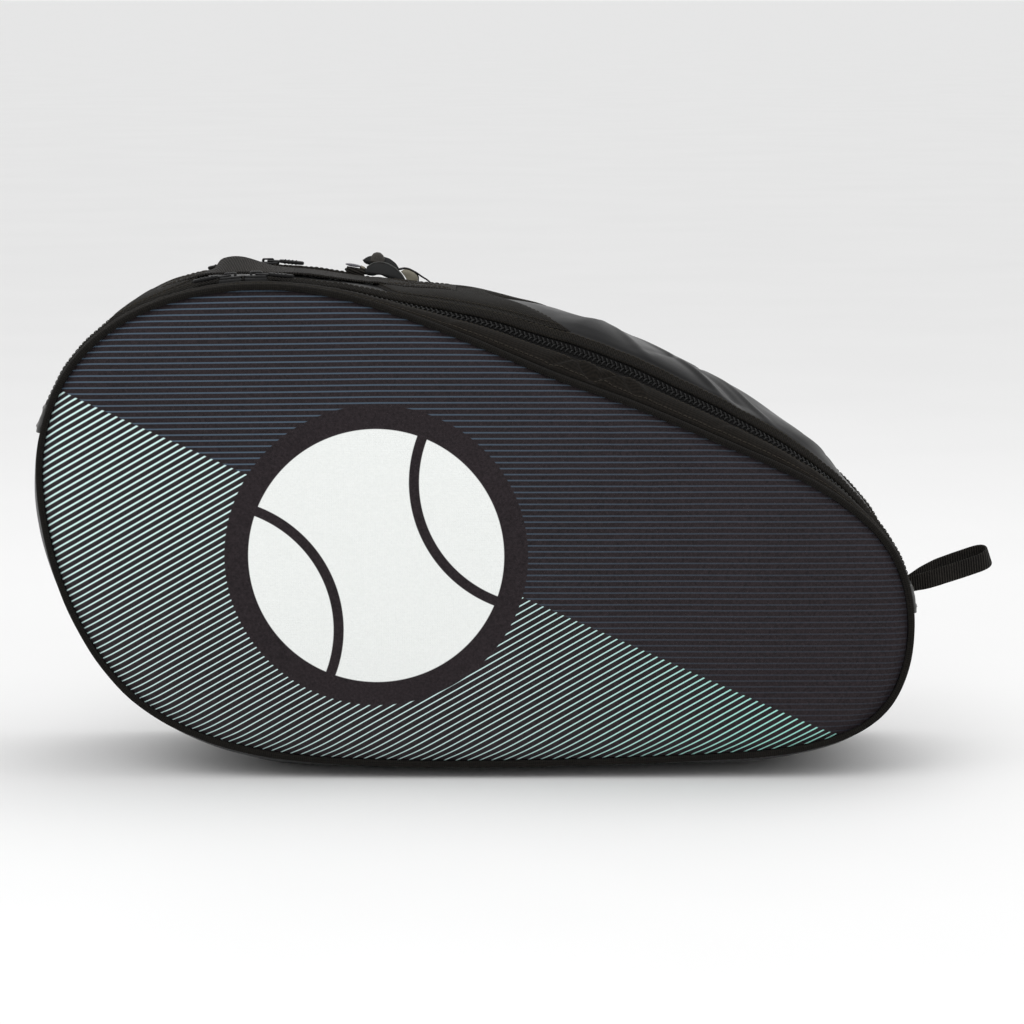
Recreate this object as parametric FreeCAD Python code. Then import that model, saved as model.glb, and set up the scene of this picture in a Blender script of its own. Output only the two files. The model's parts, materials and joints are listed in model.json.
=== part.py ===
"""Padel racket bag: a teardrop shell that stands on its long edge, with two zipped flaps.

Millimetres. X runs along the bag, Y through its depth (the printed side faces -Y), Z is up.
The origin is the middle of the flat stretch that the bag rests on.
A place on the gusset is a station round the outline, a depth along Y, and a lift square to the cloth.
"""

import FreeCAD, Part
import math
import os
from FreeCAD import Placement, Rotation, Vector

# ---- driving dimensions ----
HALF_DEPTH = 77.0  # middle of the bag to the middle of the piping
SWELL_POWER = 2.5  # how squarely the gusset bulges between the two pipings
PIPING_RADIUS = 2.3
STATIONS = 72  # points that carry the outline to each offset curve
GAP = 0.3  # between cloth on different bodies

# The piping's centreline, clockwise from the left end: x, z and how far the gusset swells there.
OUTLINE = [
    (-272.5, 186, 8.5), (-268.5, 225, 5), (-254, 258, 2.5), (-221, 289, 2), (-172, 307.5, 2.4),
    (-120, 311, 1.8), (-71, 302.5, 3.8), (-30, 288.5, 12.5), (2, 276, 22), (50, 255.5, 33.5),
    (98, 238, 33), (140, 220.5, 29), (175, 205.5, 24.5), (205, 191.5, 17.5), (229, 177, 10),
    (262, 144, 1.5), (274, 92.5, 4), (257, 43.5, 6), (209, 20, 11), (155, 14, 13),
    (100, 11.5, 11.4), (40, 9.8, 9.7), (-24, 9.2, 9.1), (-70, 10.3, 10.2), (-116, 13.5, 13.4),
    (-165, 24, 11), (-214, 50.5, 7), (-252, 103, 6),
]

# The line that a flap folds along, from zip end to zip end.
FOLD_LEFT = Vector(-268.5, 0, 225)
FOLD_RIGHT = Vector(272.5, 0, 111)

# Cloth layers of a panel, as distances from the middle of the bag, and how far inside the piping they end.
PANEL_FACE = 77.6
FOAM_FACE = 76.6
LINING_FACE = 72.4
PANEL_BACK = 71.6
PANEL_INSET = 2.6
LINING_INSET = 3.6
DIVIDER_INSET = 5.4
DIVIDER_THICK = 3.0

# Bands of the gusset, as distances from the middle of the bag.
BINDING = (71.4, 66.4)
STRIP = (74.4, 69.0, 63.6)
OUTER_TAPE = (64.6, 57.4)
OUTER_COIL = (59.8, 57.15)
INNER_COIL = (56.85, 54.2)
INNER_TAPE = (56.6, 49.6)
HEM = (51.5, 46.8)
CENTRE = (46.6, 31.0, 15.5)
CENTRE_LINING = (49.0, 31.0, 15.5)
BASE = (74.4, 60.0, 45.0, 25.0)
BASE_LAYERS = (66.0, 45.0, 25.0)
END_TAB = (55.8, 40.0, 20.0)
PATCH = (44.0, 31.0, 15.5)

# The outer and inner lift of each band, square to the cloth.
BINDING_LIFTS = (-2.4, -4.4)
STRIP_LIFTS = (1.0, -0.8)
TAPE_LIFTS = (-1.46, -2.2)
COIL_LIFTS = (1.0, -1.4)
HEM_LIFTS = (1.4, -1.2)
SHELL_LIFTS = (0.9, -0.9)
CENTRE_LINING_LIFTS = (-2.4, -3.2)
BASE_FOAM_LIFTS = (-1.3, -4.0)
BASE_LINING_LIFTS = (-4.2, -4.9)
END_TAB_LIFTS = (3.4, 1.8)
PATCH_LIFTS = (2.8, 1.0)
HANDLE_END_LIFTS = (4.7, 2.9)

# Zip sliders and their pulls.
SLIDER_MEET_X = -145.0
SLIDER_LENGTH = 15.0
SLIDER_TRAVEL = 40.0
PULL_LENGTH = 24.0
PULL_PIN_LIFT = 5.5

# Carry handle, grab loop and hanging hook.
HANDLE_WIDTH = 38.0
WEBBING = 1.8
HANDLE_ENDS = (-170.0, -62.0)
HANDLE_BOW = ((0, 3.4), (0.1, 5.6), (0.24, 7.6), (0.45, 7.4), (0.7, 6.4), (0.9, 5.2), (1, 4.6))  # share, height
PATCH_ENDS = (-234.0, 52.0)
SEWN_ENDS = (-204.0, -13.0)
LOOP_WIDTH = 13.0
LOOP_LENGTH = 52.5
LOOP_TILT_DEG = 19.0
LOOP_ROOT = Vector(282.3, 0, 113.0)
HOOK_X = -77.0
HOOK_DEPTH = 30.0
HOOK_BAR_HEIGHT = 5.8
HOOK_OVAL = (13.0, 4.7)  # half length and half height
HOOK_REACH = 20.0  # bar to the middle of the oval


# ---- the outline and curves on the gusset ----
def outline_stations():
    """Evenly spread stations: x, z, outward normal x and z, and swell."""
    curve = Part.BSplineCurve()
    curve.interpolate(Points=[Vector(x, swell, z) for x, z, swell in OUTLINE], PeriodicFlag=True)
    first, last = curve.FirstParameter, curve.LastParameter
    found = []
    for i in range(STATIONS):
        u = first + (last - first) * i / STATIONS
        place = curve.value(u)
        along = curve.tangent(u)[0]
        size = math.hypot(along.x, along.z)
        found.append((place.x, place.z, -along.z / size, along.x / size, place.y))
    return found


OUTLINE_STATIONS = outline_stations()


def swell_share(depth):
    return 1 - min(abs(depth) / HALF_DEPTH, 1) ** SWELL_POWER


def station_point(station, depth, lift, swells=True):
    x, z, normal_x, normal_z, swell = station
    out = lift + (swell * swell_share(depth) if swells else 0)
    return Vector(x + normal_x * out, depth, z + normal_z * out)


def closed_curve(depth, lift, swells=True):
    curve = Part.BSplineCurve()
    points = [station_point(s, depth, lift, swells) for s in OUTLINE_STATIONS]
    curve.interpolate(Points=points, PeriodicFlag=True)
    return curve


def solid_from(faces):
    shell = Part.Shell(faces)
    shell.sewShape()
    solid = Part.Solid(shell)
    if solid.Volume < 0:
        solid.reverse()
    return solid


def ring(section, swells=True):
    """A closed ring round the bag whose section has these corners, each a depth and a lift."""
    edges = [closed_curve(depth, lift, swells).toShape() for depth, lift in section]
    faces = [Part.makeRuledSurface(a, b) for a, b in zip(edges, edges[1:] + edges[:1])]
    return solid_from(faces)


def band(depths, lifts, swells=True):
    """Cloth round the gusset, between an outer and an inner lift."""
    outer, inner = lifts
    section = [(depth, outer) for depth in depths]
    section += [(depth, inner) for depth in reversed(depths)]
    return ring(section, swells)


def both_sides(depths):
    """Depths right across the bag, from those of one side."""
    return [-depth for depth in depths] + [0.0] + [depth for depth in reversed(depths)]


def plate(near, far, lift, swell_depth=HALF_DEPTH):
    """A flat sheet with the bag's outline, between two depths."""
    curve = Part.BSplineCurve()
    points = [station_point(s, swell_depth, lift) for s in OUTLINE_STATIONS]
    curve.interpolate(Points=[Vector(p.x, near, p.z) for p in points], PeriodicFlag=True)
    face = Part.Face(Part.Wire(curve.toShape()))
    return face.extrude(Vector(0, far - near, 0))


# ---- cuts ----
FAR = 900.0
FOLD_ALONG = (FOLD_RIGHT - FOLD_LEFT).normalize()
FOLD_SLOPE_DEG = math.degrees(math.atan2(-FOLD_ALONG.z, FOLD_ALONG.x))


def fold_block(start):
    """Everything on one side of the fold line, from that distance square to it."""
    block = Part.makeBox(2 * FAR, 2 * FAR, FAR, Vector(-FAR, -FAR, start))
    block.Placement = Placement(FOLD_LEFT, Rotation(Vector(0, 1, 0), FOLD_SLOPE_DEG))
    return block


ABOVE_FOLD = fold_block(GAP / 2)
BELOW_FOLD = fold_block(-GAP / 2 - FAR)


def above(shape):
    return shape.common(ABOVE_FOLD)


def below(shape):
    return shape.common(BELOW_FOLD)


def x_slice(shape, low, high, floor=150.0):
    """The part of a band over the top of the bag between two places along X."""
    return shape.common(Part.makeBox(high - low, 2 * FAR, FAR, Vector(low, -FAR, floor)))


def box(x, y, z):
    low = Vector(x[0], y[0], z[0])
    return Part.makeBox(x[1] - x[0], y[1] - y[0], z[1] - z[0], low)


# ---- places on top of the bag ----
TOP_CURVES = {}


def top_frame(x, depth, lift=0.0):
    """The point over x on top of the bag, and the directions along and square to the cloth there."""
    key = (depth, lift)
    if key not in TOP_CURVES:
        TOP_CURVES[key] = closed_curve(depth, lift)
    curve = TOP_CURVES[key]
    low = curve.FirstParameter
    high = low + 0.6 * (curve.LastParameter - low)
    for _ in range(40):
        middle = (low + high) / 2
        if curve.value(middle).x < x:
            low = middle
        else:
            high = middle
    along = curve.tangent(low)[0]
    return curve.value(low), along, Vector(-along.z, 0, along.x)


def on_top(shape, x, depth, toward=1):
    """Moves a shape drawn at the origin, with X along the zip and Z off the cloth, on to the bag."""
    place, along, off = top_frame(x, depth)
    turned = Rotation(along * toward, Vector(0, toward, 0), off, "XZY")
    moved = shape.copy()
    moved.Placement = Placement(place, turned)
    return moved


# ---- shell and flaps ----
def side_panels(side, name):
    """The layers and trims of one flat side, cut into the fixed part and the flap."""
    layers = {
        "panel": plate(side * FOAM_FACE, side * PANEL_FACE, -PANEL_INSET),
        "foam": plate(side * LINING_FACE, side * FOAM_FACE, -LINING_INSET),
        "lining": plate(side * PANEL_BACK, side * LINING_FACE, -LINING_INSET),
        "piping": piping(side),
        "binding": band([side * depth for depth in BINDING], BINDING_LIFTS, swells=False),
    }
    made = {}
    for layer, shape in layers.items():
        made[f"{name}_{layer}_upper"] = above(shape)
        made[f"{name}_{layer}_lower"] = below(shape)
    return made


def piping(side):
    section = []
    for corner in range(8):
        turn = math.radians(45 * corner + 22.5)
        depth = HALF_DEPTH + PIPING_RADIUS * math.cos(turn)
        section.append((side * depth, PIPING_RADIUS * math.sin(turn)))
    return ring(section, False)


def side_bands(side, name):
    """The gusset strip and the zip of one side. The outer half opens with the flap."""
    bands = {
        "gusset_strip": (STRIP, STRIP_LIFTS),
        "outer_tape": (OUTER_TAPE, TAPE_LIFTS),
        "outer_coil": (OUTER_COIL, COIL_LIFTS),
        "inner_coil": (INNER_COIL, COIL_LIFTS),
        "inner_tape": (INNER_TAPE, TAPE_LIFTS),
        "hem": (HEM, HEM_LIFTS),
    }
    made = {}
    for layer, (depths, lifts) in bands.items():
        made[f"{name}_{layer}"] = above(band([side * depth for depth in depths], lifts))
    return made


def shell_core():
    """What joins the two sides: the centre strip over the top and the coated base under it."""
    base = below(band(both_sides(BASE), SHELL_LIFTS))
    above_floor = box((-FAR, FAR), (-FAR, FAR), (0, FAR))
    half = DIVIDER_THICK / 2
    return {
        "centre_strip": above(band(both_sides(CENTRE), SHELL_LIFTS)),
        "centre_lining": above(band(both_sides(CENTRE_LINING), CENTRE_LINING_LIFTS)),
        "base_gusset": base.common(above_floor),
        "base_foam": below(band(both_sides(BASE_LAYERS), BASE_FOAM_LIFTS)),
        "base_lining": below(band(both_sides(BASE_LAYERS), BASE_LINING_LIFTS)),
        "divider": plate(-half, half, -DIVIDER_INSET, 0.0),
    }


def end_tabs():
    """The folded tabs that close the zip ends."""
    tabs = band(both_sides(END_TAB), END_TAB_LIFTS)
    made = {}
    for name, fold_end in (("end_tab_left", FOLD_LEFT), ("end_tab_right", FOLD_RIGHT)):
        window = box((-24, 24), (-60, 60), (-8, 8))
        window.Placement = Placement(fold_end, Rotation())
        made[name] = tabs.common(window)
    return made


# ---- zip sliders ----
def slider_body():
    """A slider with its top plate, its back flange and the bridge that holds the pull."""
    half = SLIDER_LENGTH / 2
    body = box((-half, half), (-5.0, 4.6), (3.0, 4.6))
    body = body.fuse(box((-half, half), (3.1, 4.6), (-0.9, 3.2)))
    bridge = box((-4.0, 4.0), (-1.1, 1.1), (4.4, 7.0))
    window = box((-2.4, 2.4), (-3, 3), (4.8, 6.2))
    return body.fuse(bridge.cut(window)).removeSplitter()


def slider_pull():
    """A pull that lies along the zip, away from the other slider. Its cross bar sits in the bridge."""
    bar = Part.makeCylinder(0.5, 6.4, Vector(0, -3.2, PULL_PIN_LIFT), Vector(0, 1, 0))
    arms = box((-0.6, 8.0), (-3.2, -1.9), (5.0, 6.2)).fuse(box((-0.6, 8.0), (1.9, 3.2), (5.0, 6.2)))
    grip = box((7.0, PULL_LENGTH), (-4.2, 4.2), (4.9, 6.9))
    corners = [edge for edge in grip.Edges if abs(edge.tangentAt(0).z) > 0.9 and edge.BoundBox.XMin > 8]
    grip = grip.makeFillet(3.0, corners)
    return bar.fuse([arms, grip]).removeSplitter()


def circle_centre(a, b, c):
    """The centre of the circle through three points of an XZ curve."""
    return Part.Arc(a, b, c).toShape().Curve.Center


def zips(side, name):
    """Two sliders that meet on top of the bag, and their pulls, with what their joints need."""
    middle = side * (OUTER_COIL[1] + INNER_COIL[0]) / 2
    made = {}
    for end, toward in (("left", -1), ("right", 1)):
        x = SLIDER_MEET_X + toward * (SLIDER_LENGTH / 2 + 0.4)
        body = slider_body()
        pull = slider_pull()
        if toward * side > 0:
            body = body.mirror(Vector(), Vector(0, 1, 0))
        made[f"{name}_{end}_slider"] = on_top(body, x, middle, toward)
        made[f"{name}_{end}_pull"] = on_top(pull, x, middle, toward)
        stops = [top_frame(x + toward * share * SLIDER_TRAVEL, middle)[0] for share in (0, 0.5, 1)]
        centre = circle_centre(*stops)
        start, finish = stops[0] - centre, stops[2] - centre
        travel = math.degrees(start.getAngle(finish))
        pivot = top_frame(x, middle)
        pin = pivot[0] + pivot[2] * PULL_PIN_LIFT
        print(f"{name}_{end}_slider centre", tuple(round(v, 3) for v in centre), "turn", round(travel, 2))
        print(f"{name}_{end}_pull pin", tuple(round(v, 3) for v in pin))
    return made


# ---- handle, patches, loop and hook ----
def curved_webbing(points, thickness, low, high):
    """Webbing whose middle line goes through points in the XZ plane, between two depths."""
    middle = Part.BSplineCurve()
    middle.interpolate(Points=[Vector(x, 0, z) for x, z in points])
    first, last = middle.FirstParameter, middle.LastParameter
    upper, lower = [], []
    for i in range(13):
        u = first + (last - first) * i / 12
        place, along = middle.value(u), middle.tangent(u)[0]
        off = Vector(-along.z, 0, along.x) * (thickness / 2)
        upper.append(place + off)
        lower.append(place - off)
    top, bottom = Part.BSplineCurve(), Part.BSplineCurve()
    top.interpolate(Points=upper)
    bottom.interpolate(Points=lower)
    ends = [Part.makeLine(upper[-1], lower[-1]), Part.makeLine(lower[0], upper[0])]
    wire = Part.Wire([top.toShape(), ends[0], bottom.toShape(), ends[1]])
    face = Part.Face(wire)
    face.translate(Vector(0, low, 0))
    return face.extrude(Vector(0, high - low, 0))


def handle_parts():
    """The carry handle: webbing that bows over the top between two sewn ends, and its twill patches."""
    left, right = HANDLE_ENDS
    half = HANDLE_WIDTH / 2
    points = []
    for share, height in HANDLE_BOW:
        x = left + share * (right - left)
        points.append((x, top_frame(x, 0.0)[0].z + height))
    patch = band(both_sides(PATCH), PATCH_LIFTS)
    tail = band((-half, 0.0, half), HANDLE_END_LIFTS)
    tip, wide = Vector(-4, 0, 100), Vector(60, 52, 100)
    wedge = Part.Face(Part.makePolygon([tip, wide - Vector(0, 2 * wide.y, 0), wide, tip]))
    wedge = wedge.extrude(Vector(0, 0, FAR))
    return {
        "handle_webbing": curved_webbing(points, WEBBING, -half, half),
        "handle_patch_left": x_slice(patch, PATCH_ENDS[0], left - 2),
        "handle_patch_right": x_slice(patch, right - 6, PATCH_ENDS[1]).cut(wedge),
        "handle_end_left": x_slice(tail, SEWN_ENDS[0], left - 0.5),
        "handle_end_right": x_slice(tail, right + 0.5, SEWN_ENDS[1]),
    }


def grab_loop():
    """A loop of narrow webbing at the right end, standing on its edge and tilted up."""
    outer, inner = LOOP_WIDTH / 2 + 1.5, LOOP_WIDTH / 2
    length = LOOP_LENGTH - outer
    root_length = 7.0
    narrow, full = 1.5, LOOP_WIDTH / 2
    corners = [(0, -narrow), (root_length, -full), (root_length, full), (0, narrow), (0, -narrow)]
    root = Part.Face(Part.makePolygon([Vector(x, -outer, z) for x, z in corners]))
    root = root.extrude(Vector(0, 2 * outer, 0))
    loop = Part.makeCylinder(outer, LOOP_WIDTH, Vector(length, 0, -full))
    loop = loop.fuse(box((root_length, length), (-outer, outer), (-full, full)))
    hollow = Part.makeCylinder(inner, LOOP_WIDTH, Vector(length, 0, -full))
    hollow = hollow.fuse(box((root_length, length), (-inner, inner), (-full, full)))
    loop = loop.cut(hollow).fuse(root).removeSplitter()
    loop.Placement = Placement(LOOP_ROOT, Rotation(Vector(0, 1, 0), -LOOP_TILT_DEG))
    return loop


def hook_parts():
    """A hanging hook that swings on a webbing tab, drawn with X along the cloth and Z off it."""
    along_x = Vector(1, 0, 0)
    half_thick = 1.8
    half_long, half_high = HOOK_OVAL
    bar = Vector(0, 0, HOOK_BAR_HEIGHT)
    tab = Part.makeCylinder(2.6, 12.0, bar + Vector(-6, 0, 0), along_x)
    tab = tab.fuse(box((-6, 6), (-1.6, 1.6), (3.1, bar.z)))
    tab = tab.cut(Part.makeCylinder(1.25, 14.0, bar + Vector(-7, 0, 0), along_x))
    pin = Part.makeCylinder(1.2, 15.0, bar + Vector(-7.5, 0, 0), along_x)
    cap = Part.makeCylinder(1.8, 1.6, bar + Vector(-8.1, 0, 0), along_x)
    centre = bar + Vector(HOOK_REACH, 0, 3.2)
    oval = Part.Face(Part.Wire(Part.Ellipse(centre, half_long, half_high).toShape()))
    oval.rotate(centre, along_x, 90)
    body = oval.extrude(Vector(0, 2 * half_thick, 0))
    body.translate(Vector(0, -half_thick, 0))
    neck = box((6.6, 11.0), (-1.5, 1.5), (bar.z - 1.5, bar.z + 3.0))
    slot = box((14.5, 23.5), (-half_thick, half_thick), (centre.z - 3.0, centre.z - 1.2))
    channel = box((6.0, 22.0), (-1.3, 1.3), (centre.z + 1.6, centre.z + half_high))
    body = body.fuse([pin, cap, neck]).cut(slot.fuse(channel)).removeSplitter()
    gate = box((8.0, 14.2), (-1.0, 1.0), (centre.z + 1.9, centre.z + 5.4))
    gate = gate.fuse(Part.makeSphere(2.4, Vector(10.8, 0, centre.z + 7.2))).removeSplitter()
    start = Vector(HOOK_REACH + half_long - 1.5, 0, centre.z + 0.4)
    arc = Part.Arc(start, Vector(41, 0, 8.9), Vector(48.5, 0, 4.9)).toShape()
    profile = Part.Wire(Part.Circle(start, arc.tangentAt(arc.FirstParameter), 1.2).toShape())
    arm = Part.Wire(arc).makePipeShell([profile], True, True)
    parts = {"hook_tab": tab, "hook_body": body, "hook_gate": gate, "hook_arm": arm}
    place, along, off = top_frame(HOOK_X, HOOK_DEPTH)
    print("hook bar", place + off * bar.z, "along", along)
    return {name: on_top(shape, HOOK_X, HOOK_DEPTH) for name, shape in parts.items()}


def main():
    os.makedirs("parts", exist_ok=True)
    nodes = {}
    for side, name in ((-1, "front"), (1, "rear")):
        nodes.update(side_panels(side, name))
        nodes.update(side_bands(side, name))
        nodes.update(zips(side, name))
    nodes.update(shell_core())
    nodes.update(end_tabs())
    nodes.update(handle_parts())
    nodes["grab_loop"] = grab_loop()
    nodes.update(hook_parts())
    for name, shape in nodes.items():
        shape.exportStep(f"parts/{name}.step")
        size = shape.BoundBox
        count, volume = len(shape.Solids), shape.Volume
        print(f"{name:24s} {count} solid(s) {volume:9.0f} mm3 valid {shape.isValid()} {size}")


main()
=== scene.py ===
"""Looks of the paddle case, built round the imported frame. Lengths are millimetres until a mesh is made."""
import json
import math

import bpy
import numpy as np
from mathutils import Matrix, Vector


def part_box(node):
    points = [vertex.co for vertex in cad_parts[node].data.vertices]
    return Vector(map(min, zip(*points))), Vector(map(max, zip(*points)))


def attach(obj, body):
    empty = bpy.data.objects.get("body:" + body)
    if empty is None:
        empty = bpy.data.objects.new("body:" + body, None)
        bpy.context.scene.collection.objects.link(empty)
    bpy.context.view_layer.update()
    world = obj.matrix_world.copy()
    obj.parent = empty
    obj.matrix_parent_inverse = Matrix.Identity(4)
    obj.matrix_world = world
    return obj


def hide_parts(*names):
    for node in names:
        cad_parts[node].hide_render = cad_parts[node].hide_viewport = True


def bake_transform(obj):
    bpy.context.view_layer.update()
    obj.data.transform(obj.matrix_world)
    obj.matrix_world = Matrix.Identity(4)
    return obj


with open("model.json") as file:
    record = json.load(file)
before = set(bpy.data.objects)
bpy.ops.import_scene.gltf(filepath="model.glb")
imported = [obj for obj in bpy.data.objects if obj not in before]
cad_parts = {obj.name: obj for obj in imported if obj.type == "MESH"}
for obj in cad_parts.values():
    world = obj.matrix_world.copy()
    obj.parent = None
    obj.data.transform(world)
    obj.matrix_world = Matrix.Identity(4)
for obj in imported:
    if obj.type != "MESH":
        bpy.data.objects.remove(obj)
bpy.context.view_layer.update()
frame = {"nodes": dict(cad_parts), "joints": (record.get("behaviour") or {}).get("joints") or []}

MM = 0.001
NODES = frame["nodes"]
JOINTS = {joint["name"]: joint for joint in frame["joints"]}

# Each flap with the side of the bag that it is on.
FLAPS = {"front": -1, "rear": 1}

# The outline and the gusset's swell are read at even samples and kept as slow waves.
OUTLINE_SAMPLES = 1024
OUTLINE_WAVES = 30
SWELL_BINS = 128
SWELL_WAVES = 20
SWELL_POWER = 2.5
PIPING_TO_PANEL = 2.6
HALVINGS = 50

# Bands of cloth on the gusset and their seams, as distances from the middle of the bag.
FLANGE_BAND = (76.2, 72.6)
STRIP_BAND = (74.6, 63.4)
STRIP_SEAMS = (72.8, 65.0)
BINDING_BAND = (71.8, 66.2)
HEM_BAND = (52.8, 46.2)
HEM_SEAM = 48.6
CENTRE_HALF = 47.2
CENTRE_LINING_HALF = 49.6
BASE_HALF = 75.4
BASE_SEAM = 72.9
BASE_LINING_HALF = 66
TAB_HALF = 56.2

# The end tabs along the outline: half their length, and their seams.
TAB_REACH = 8.6
TAB_SEAMS = (-5.6, 5.6)

# Webbing: the handle's height over the cloth where it is sewn down, and two half widths.
STRAP_LIFT = 3.9
LOOP_HALF = 5.7
HOOK_TAB_HALF = 6.0

# Thread: its radius, the dashes and how they arch out of the cloth.
THREAD_RADIUS = 0.26
STITCH_LENGTH = 2.5
STITCH_GAP = 0.9
STITCH_RISE = 0.32
STITCH_SINK = 0.2

# Cloth thicknesses, and how finely the meshes are cut.
PANEL_CLOTH = 1.4
LINING_CLOTH = 0.8
PANEL_GRID = (190, 120)
LINING_GRID = (120, 80)
DIVIDER_COLUMNS = 260
RING_STEP = 2.0
PIPING_SIDES = 16
OVAL_POINTS = 48
CORNER_STEPS = 6

# How the pulls and the grab loop sit, and where the camera stands.
PIN_LIFT = 5.5
PULL_DROOP_DEG = 6
LOOP_TILT_DEG = 19
CAMERA_TARGET = (22.9, -75, 169.8)
CAMERA_AWAY = 2300
CAMERA_LENS = 129.1
CAMERA_RISE_DEG = 8
WORLD_LIGHT = 0.95


# ---- the frame's shape ----
def cad_points(name):
    return np.array([v.co for v in NODES[name].data.vertices]) / MM


def joint_place(name):
    return np.array(JOINTS[name]["pos_m"]) / MM


def joint_axis(name):
    axis = np.array(JOINTS[name]["axis"], float)
    return axis / np.linalg.norm(axis)


def box_mm(name):
    low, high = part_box(name)
    return np.array(low) / MM, np.array(high) / MM


PIPING_LOW, PIPING_HIGH = box_mm("front_piping_lower")
HALF_DEPTH = -(PIPING_LOW[1] + PIPING_HIGH[1]) / 2
PIPING_RADIUS = (PIPING_HIGH[1] - PIPING_LOW[1]) / 2
FOLD_POINT = joint_place("front_flap_fold")[[0, 2]]
FOLD_ALONG = joint_axis("front_flap_fold")[[0, 2]]
FOLD_UP = np.array([-FOLD_ALONG[1], FOLD_ALONG[0]])


def smooth_closed(samples, keep):
    """A closed run of evenly spaced samples with only its slow waves kept, as Fourier terms."""
    waves = np.fft.fft(samples) / len(samples)
    steps = np.fft.fftfreq(len(samples), 1 / len(samples))
    near = np.abs(steps) <= keep
    return waves[near], steps[near]


def at_share(terms, share, slope=False):
    waves, steps = terms
    turns = 2j * np.pi * steps
    values = np.exp(np.asarray(share, float)[..., None] * turns) * waves
    return (values * turns).sum(-1) if slope else values.sum(-1)


def run_along(points):
    """The distance walked to each point of a line."""
    return np.concatenate([[0], np.cumsum(np.linalg.norm(np.diff(points, axis=0), axis=1))])


def read_outline():
    """The piping's centreline, from the edge of the flat front panel, as Fourier terms."""
    points = np.vstack([cad_points("front_panel_upper"), cad_points("front_panel_lower")])
    points = points[points[:, 1] < points[:, 1].min() + 0.05][:, [0, 2]]
    points = points[np.abs((points - FOLD_POINT) @ FOLD_UP) > 0.5]
    middle = (points.min(0) + points.max(0)) / 2
    turn = np.arctan2(points[:, 1] - middle[1], points[:, 0] - middle[0])
    points = points[np.argsort(-turn)]
    closed = np.vstack([points, points[:1]])
    run = run_along(closed)
    even = np.linspace(0, run[-1], OUTLINE_SAMPLES, endpoint=False)
    line = np.interp(even, run, closed[:, 0]) + 1j * np.interp(even, run, closed[:, 1])
    inner = smooth_closed(line, OUTLINE_WAVES)
    share = np.arange(OUTLINE_SAMPLES) / OUTLINE_SAMPLES
    slope = at_share(inner, share, slope=True)
    out = 1j * slope / np.abs(slope)
    return smooth_closed(at_share(inner, share) + out * PIPING_TO_PANEL, OUTLINE_WAVES), run[-1]


OUTLINE, PERIMETER = read_outline()


def edge(share):
    """Place and outward normal of the piping's centreline, clockwise from the left end."""
    place = at_share(OUTLINE, share)
    slope = at_share(OUTLINE, share, slope=True)
    out = 1j * slope / np.abs(slope)
    return np.stack([place.real, place.imag], -1), np.stack([out.real, out.imag], -1)


def read_swell():
    """How far the gusset stands out at the middle of the bag, along the outline."""
    points = np.vstack([cad_points("centre_strip"), cad_points("base_gusset")])
    points = points[np.abs(points[:, 1]) < 0.02][:, [0, 2]]
    share = np.arange(OUTLINE_SAMPLES) / OUTLINE_SAMPLES
    place, out = edge(share)
    nearest = np.argmin(((points[:, None] - place[None]) ** 2).sum(-1), axis=1)
    height = ((points - place[nearest]) * out[nearest]).sum(-1)
    group = nearest * SWELL_BINS // OUTLINE_SAMPLES
    top = np.array([height[group == i].max() if (group == i).any() else np.nan for i in range(SWELL_BINS)])
    known = ~np.isnan(top)
    spots = np.arange(SWELL_BINS)
    filled = np.interp(spots, spots[known], top[known], period=SWELL_BINS)
    return smooth_closed(filled + 0j, SWELL_WAVES)


SWELL = read_swell()


def swell_share(depth):
    return 1 - np.clip(np.abs(depth) / HALF_DEPTH, 0, 1) ** SWELL_POWER


def share_where(test, start, end):
    """The share between start and end at which a rising test reaches zero."""
    for _ in range(HALVINGS):
        middle = (start + end) / 2
        if test(middle) < 0:
            start = middle
        else:
            end = middle
    return (start + end) / 2


def above_fold(share):
    return float((edge(share)[0] - FOLD_POINT) @ FOLD_UP)


TOP_SHARE = float(np.argmax(edge(np.arange(512) / 1024)[0][:, 1])) / 1024
ZIP_START = share_where(above_fold, TOP_SHARE - 0.3, TOP_SHARE)
ZIP_END = share_where(lambda s: -above_fold(s), TOP_SHARE, TOP_SHARE + 0.5)


def bump(x, centre, width):
    return np.exp(-(((x - centre) / width) ** 2))


def slump(share, depth):
    """Slow unevenness that every layer of the gusset shares."""
    angle = 2 * np.pi * share
    wave = 0.5 * np.sin(9 * angle + 0.6) * np.cos(depth / 31.0) + 0.4 * np.sin(17 * angle + depth / 40.0)
    wave = wave + 0.25 * np.sin(29 * angle - depth / 23.0)
    return wave * swell_share(depth)


def skin(share, depth, lift):
    """Points on the gusset, with lift square to the cloth."""
    share, depth, lift = np.broadcast_arrays(share, depth, lift)
    place, out = edge(share)
    height = lift + at_share(SWELL, share).real * swell_share(depth) - 0.9 * swell_share(depth)
    height = height + slump(share, depth)
    flat = place + out * height[..., None]
    floor_clear = np.maximum(flat[..., 1], 0.05 + np.minimum(lift + 0.9, 0) * -1.0)
    return np.stack([flat[..., 0], depth, floor_clear], -1)


def outward(share):
    """Outward directions on the gusset, one row for each share."""
    out = edge(share)[1]
    return np.stack([out[:, 0], 0 * out[:, 0], out[:, 1]], -1)


# ---- meshes ----
def unit_rows(vectors):
    return vectors / np.linalg.norm(vectors, axis=1)[:, None]


def path_frames(path, up):
    """The heading and the two cross directions at each point of a path."""
    along = unit_rows(np.gradient(path, axis=0))
    side = unit_rows(np.cross(along, up))
    return along, side, np.cross(side, along)


def around(sides):
    return np.linspace(0, 2 * np.pi, sides, endpoint=False)


def flipped(faces):
    return [face[::-1] for face in faces]


def tube_map(run, across):
    return np.stack([run[:, None] + 0 * across, across + 0 * run[:, None]], -1)


def show(item):
    bpy.context.scene.collection.objects.link(item)
    return item


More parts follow.
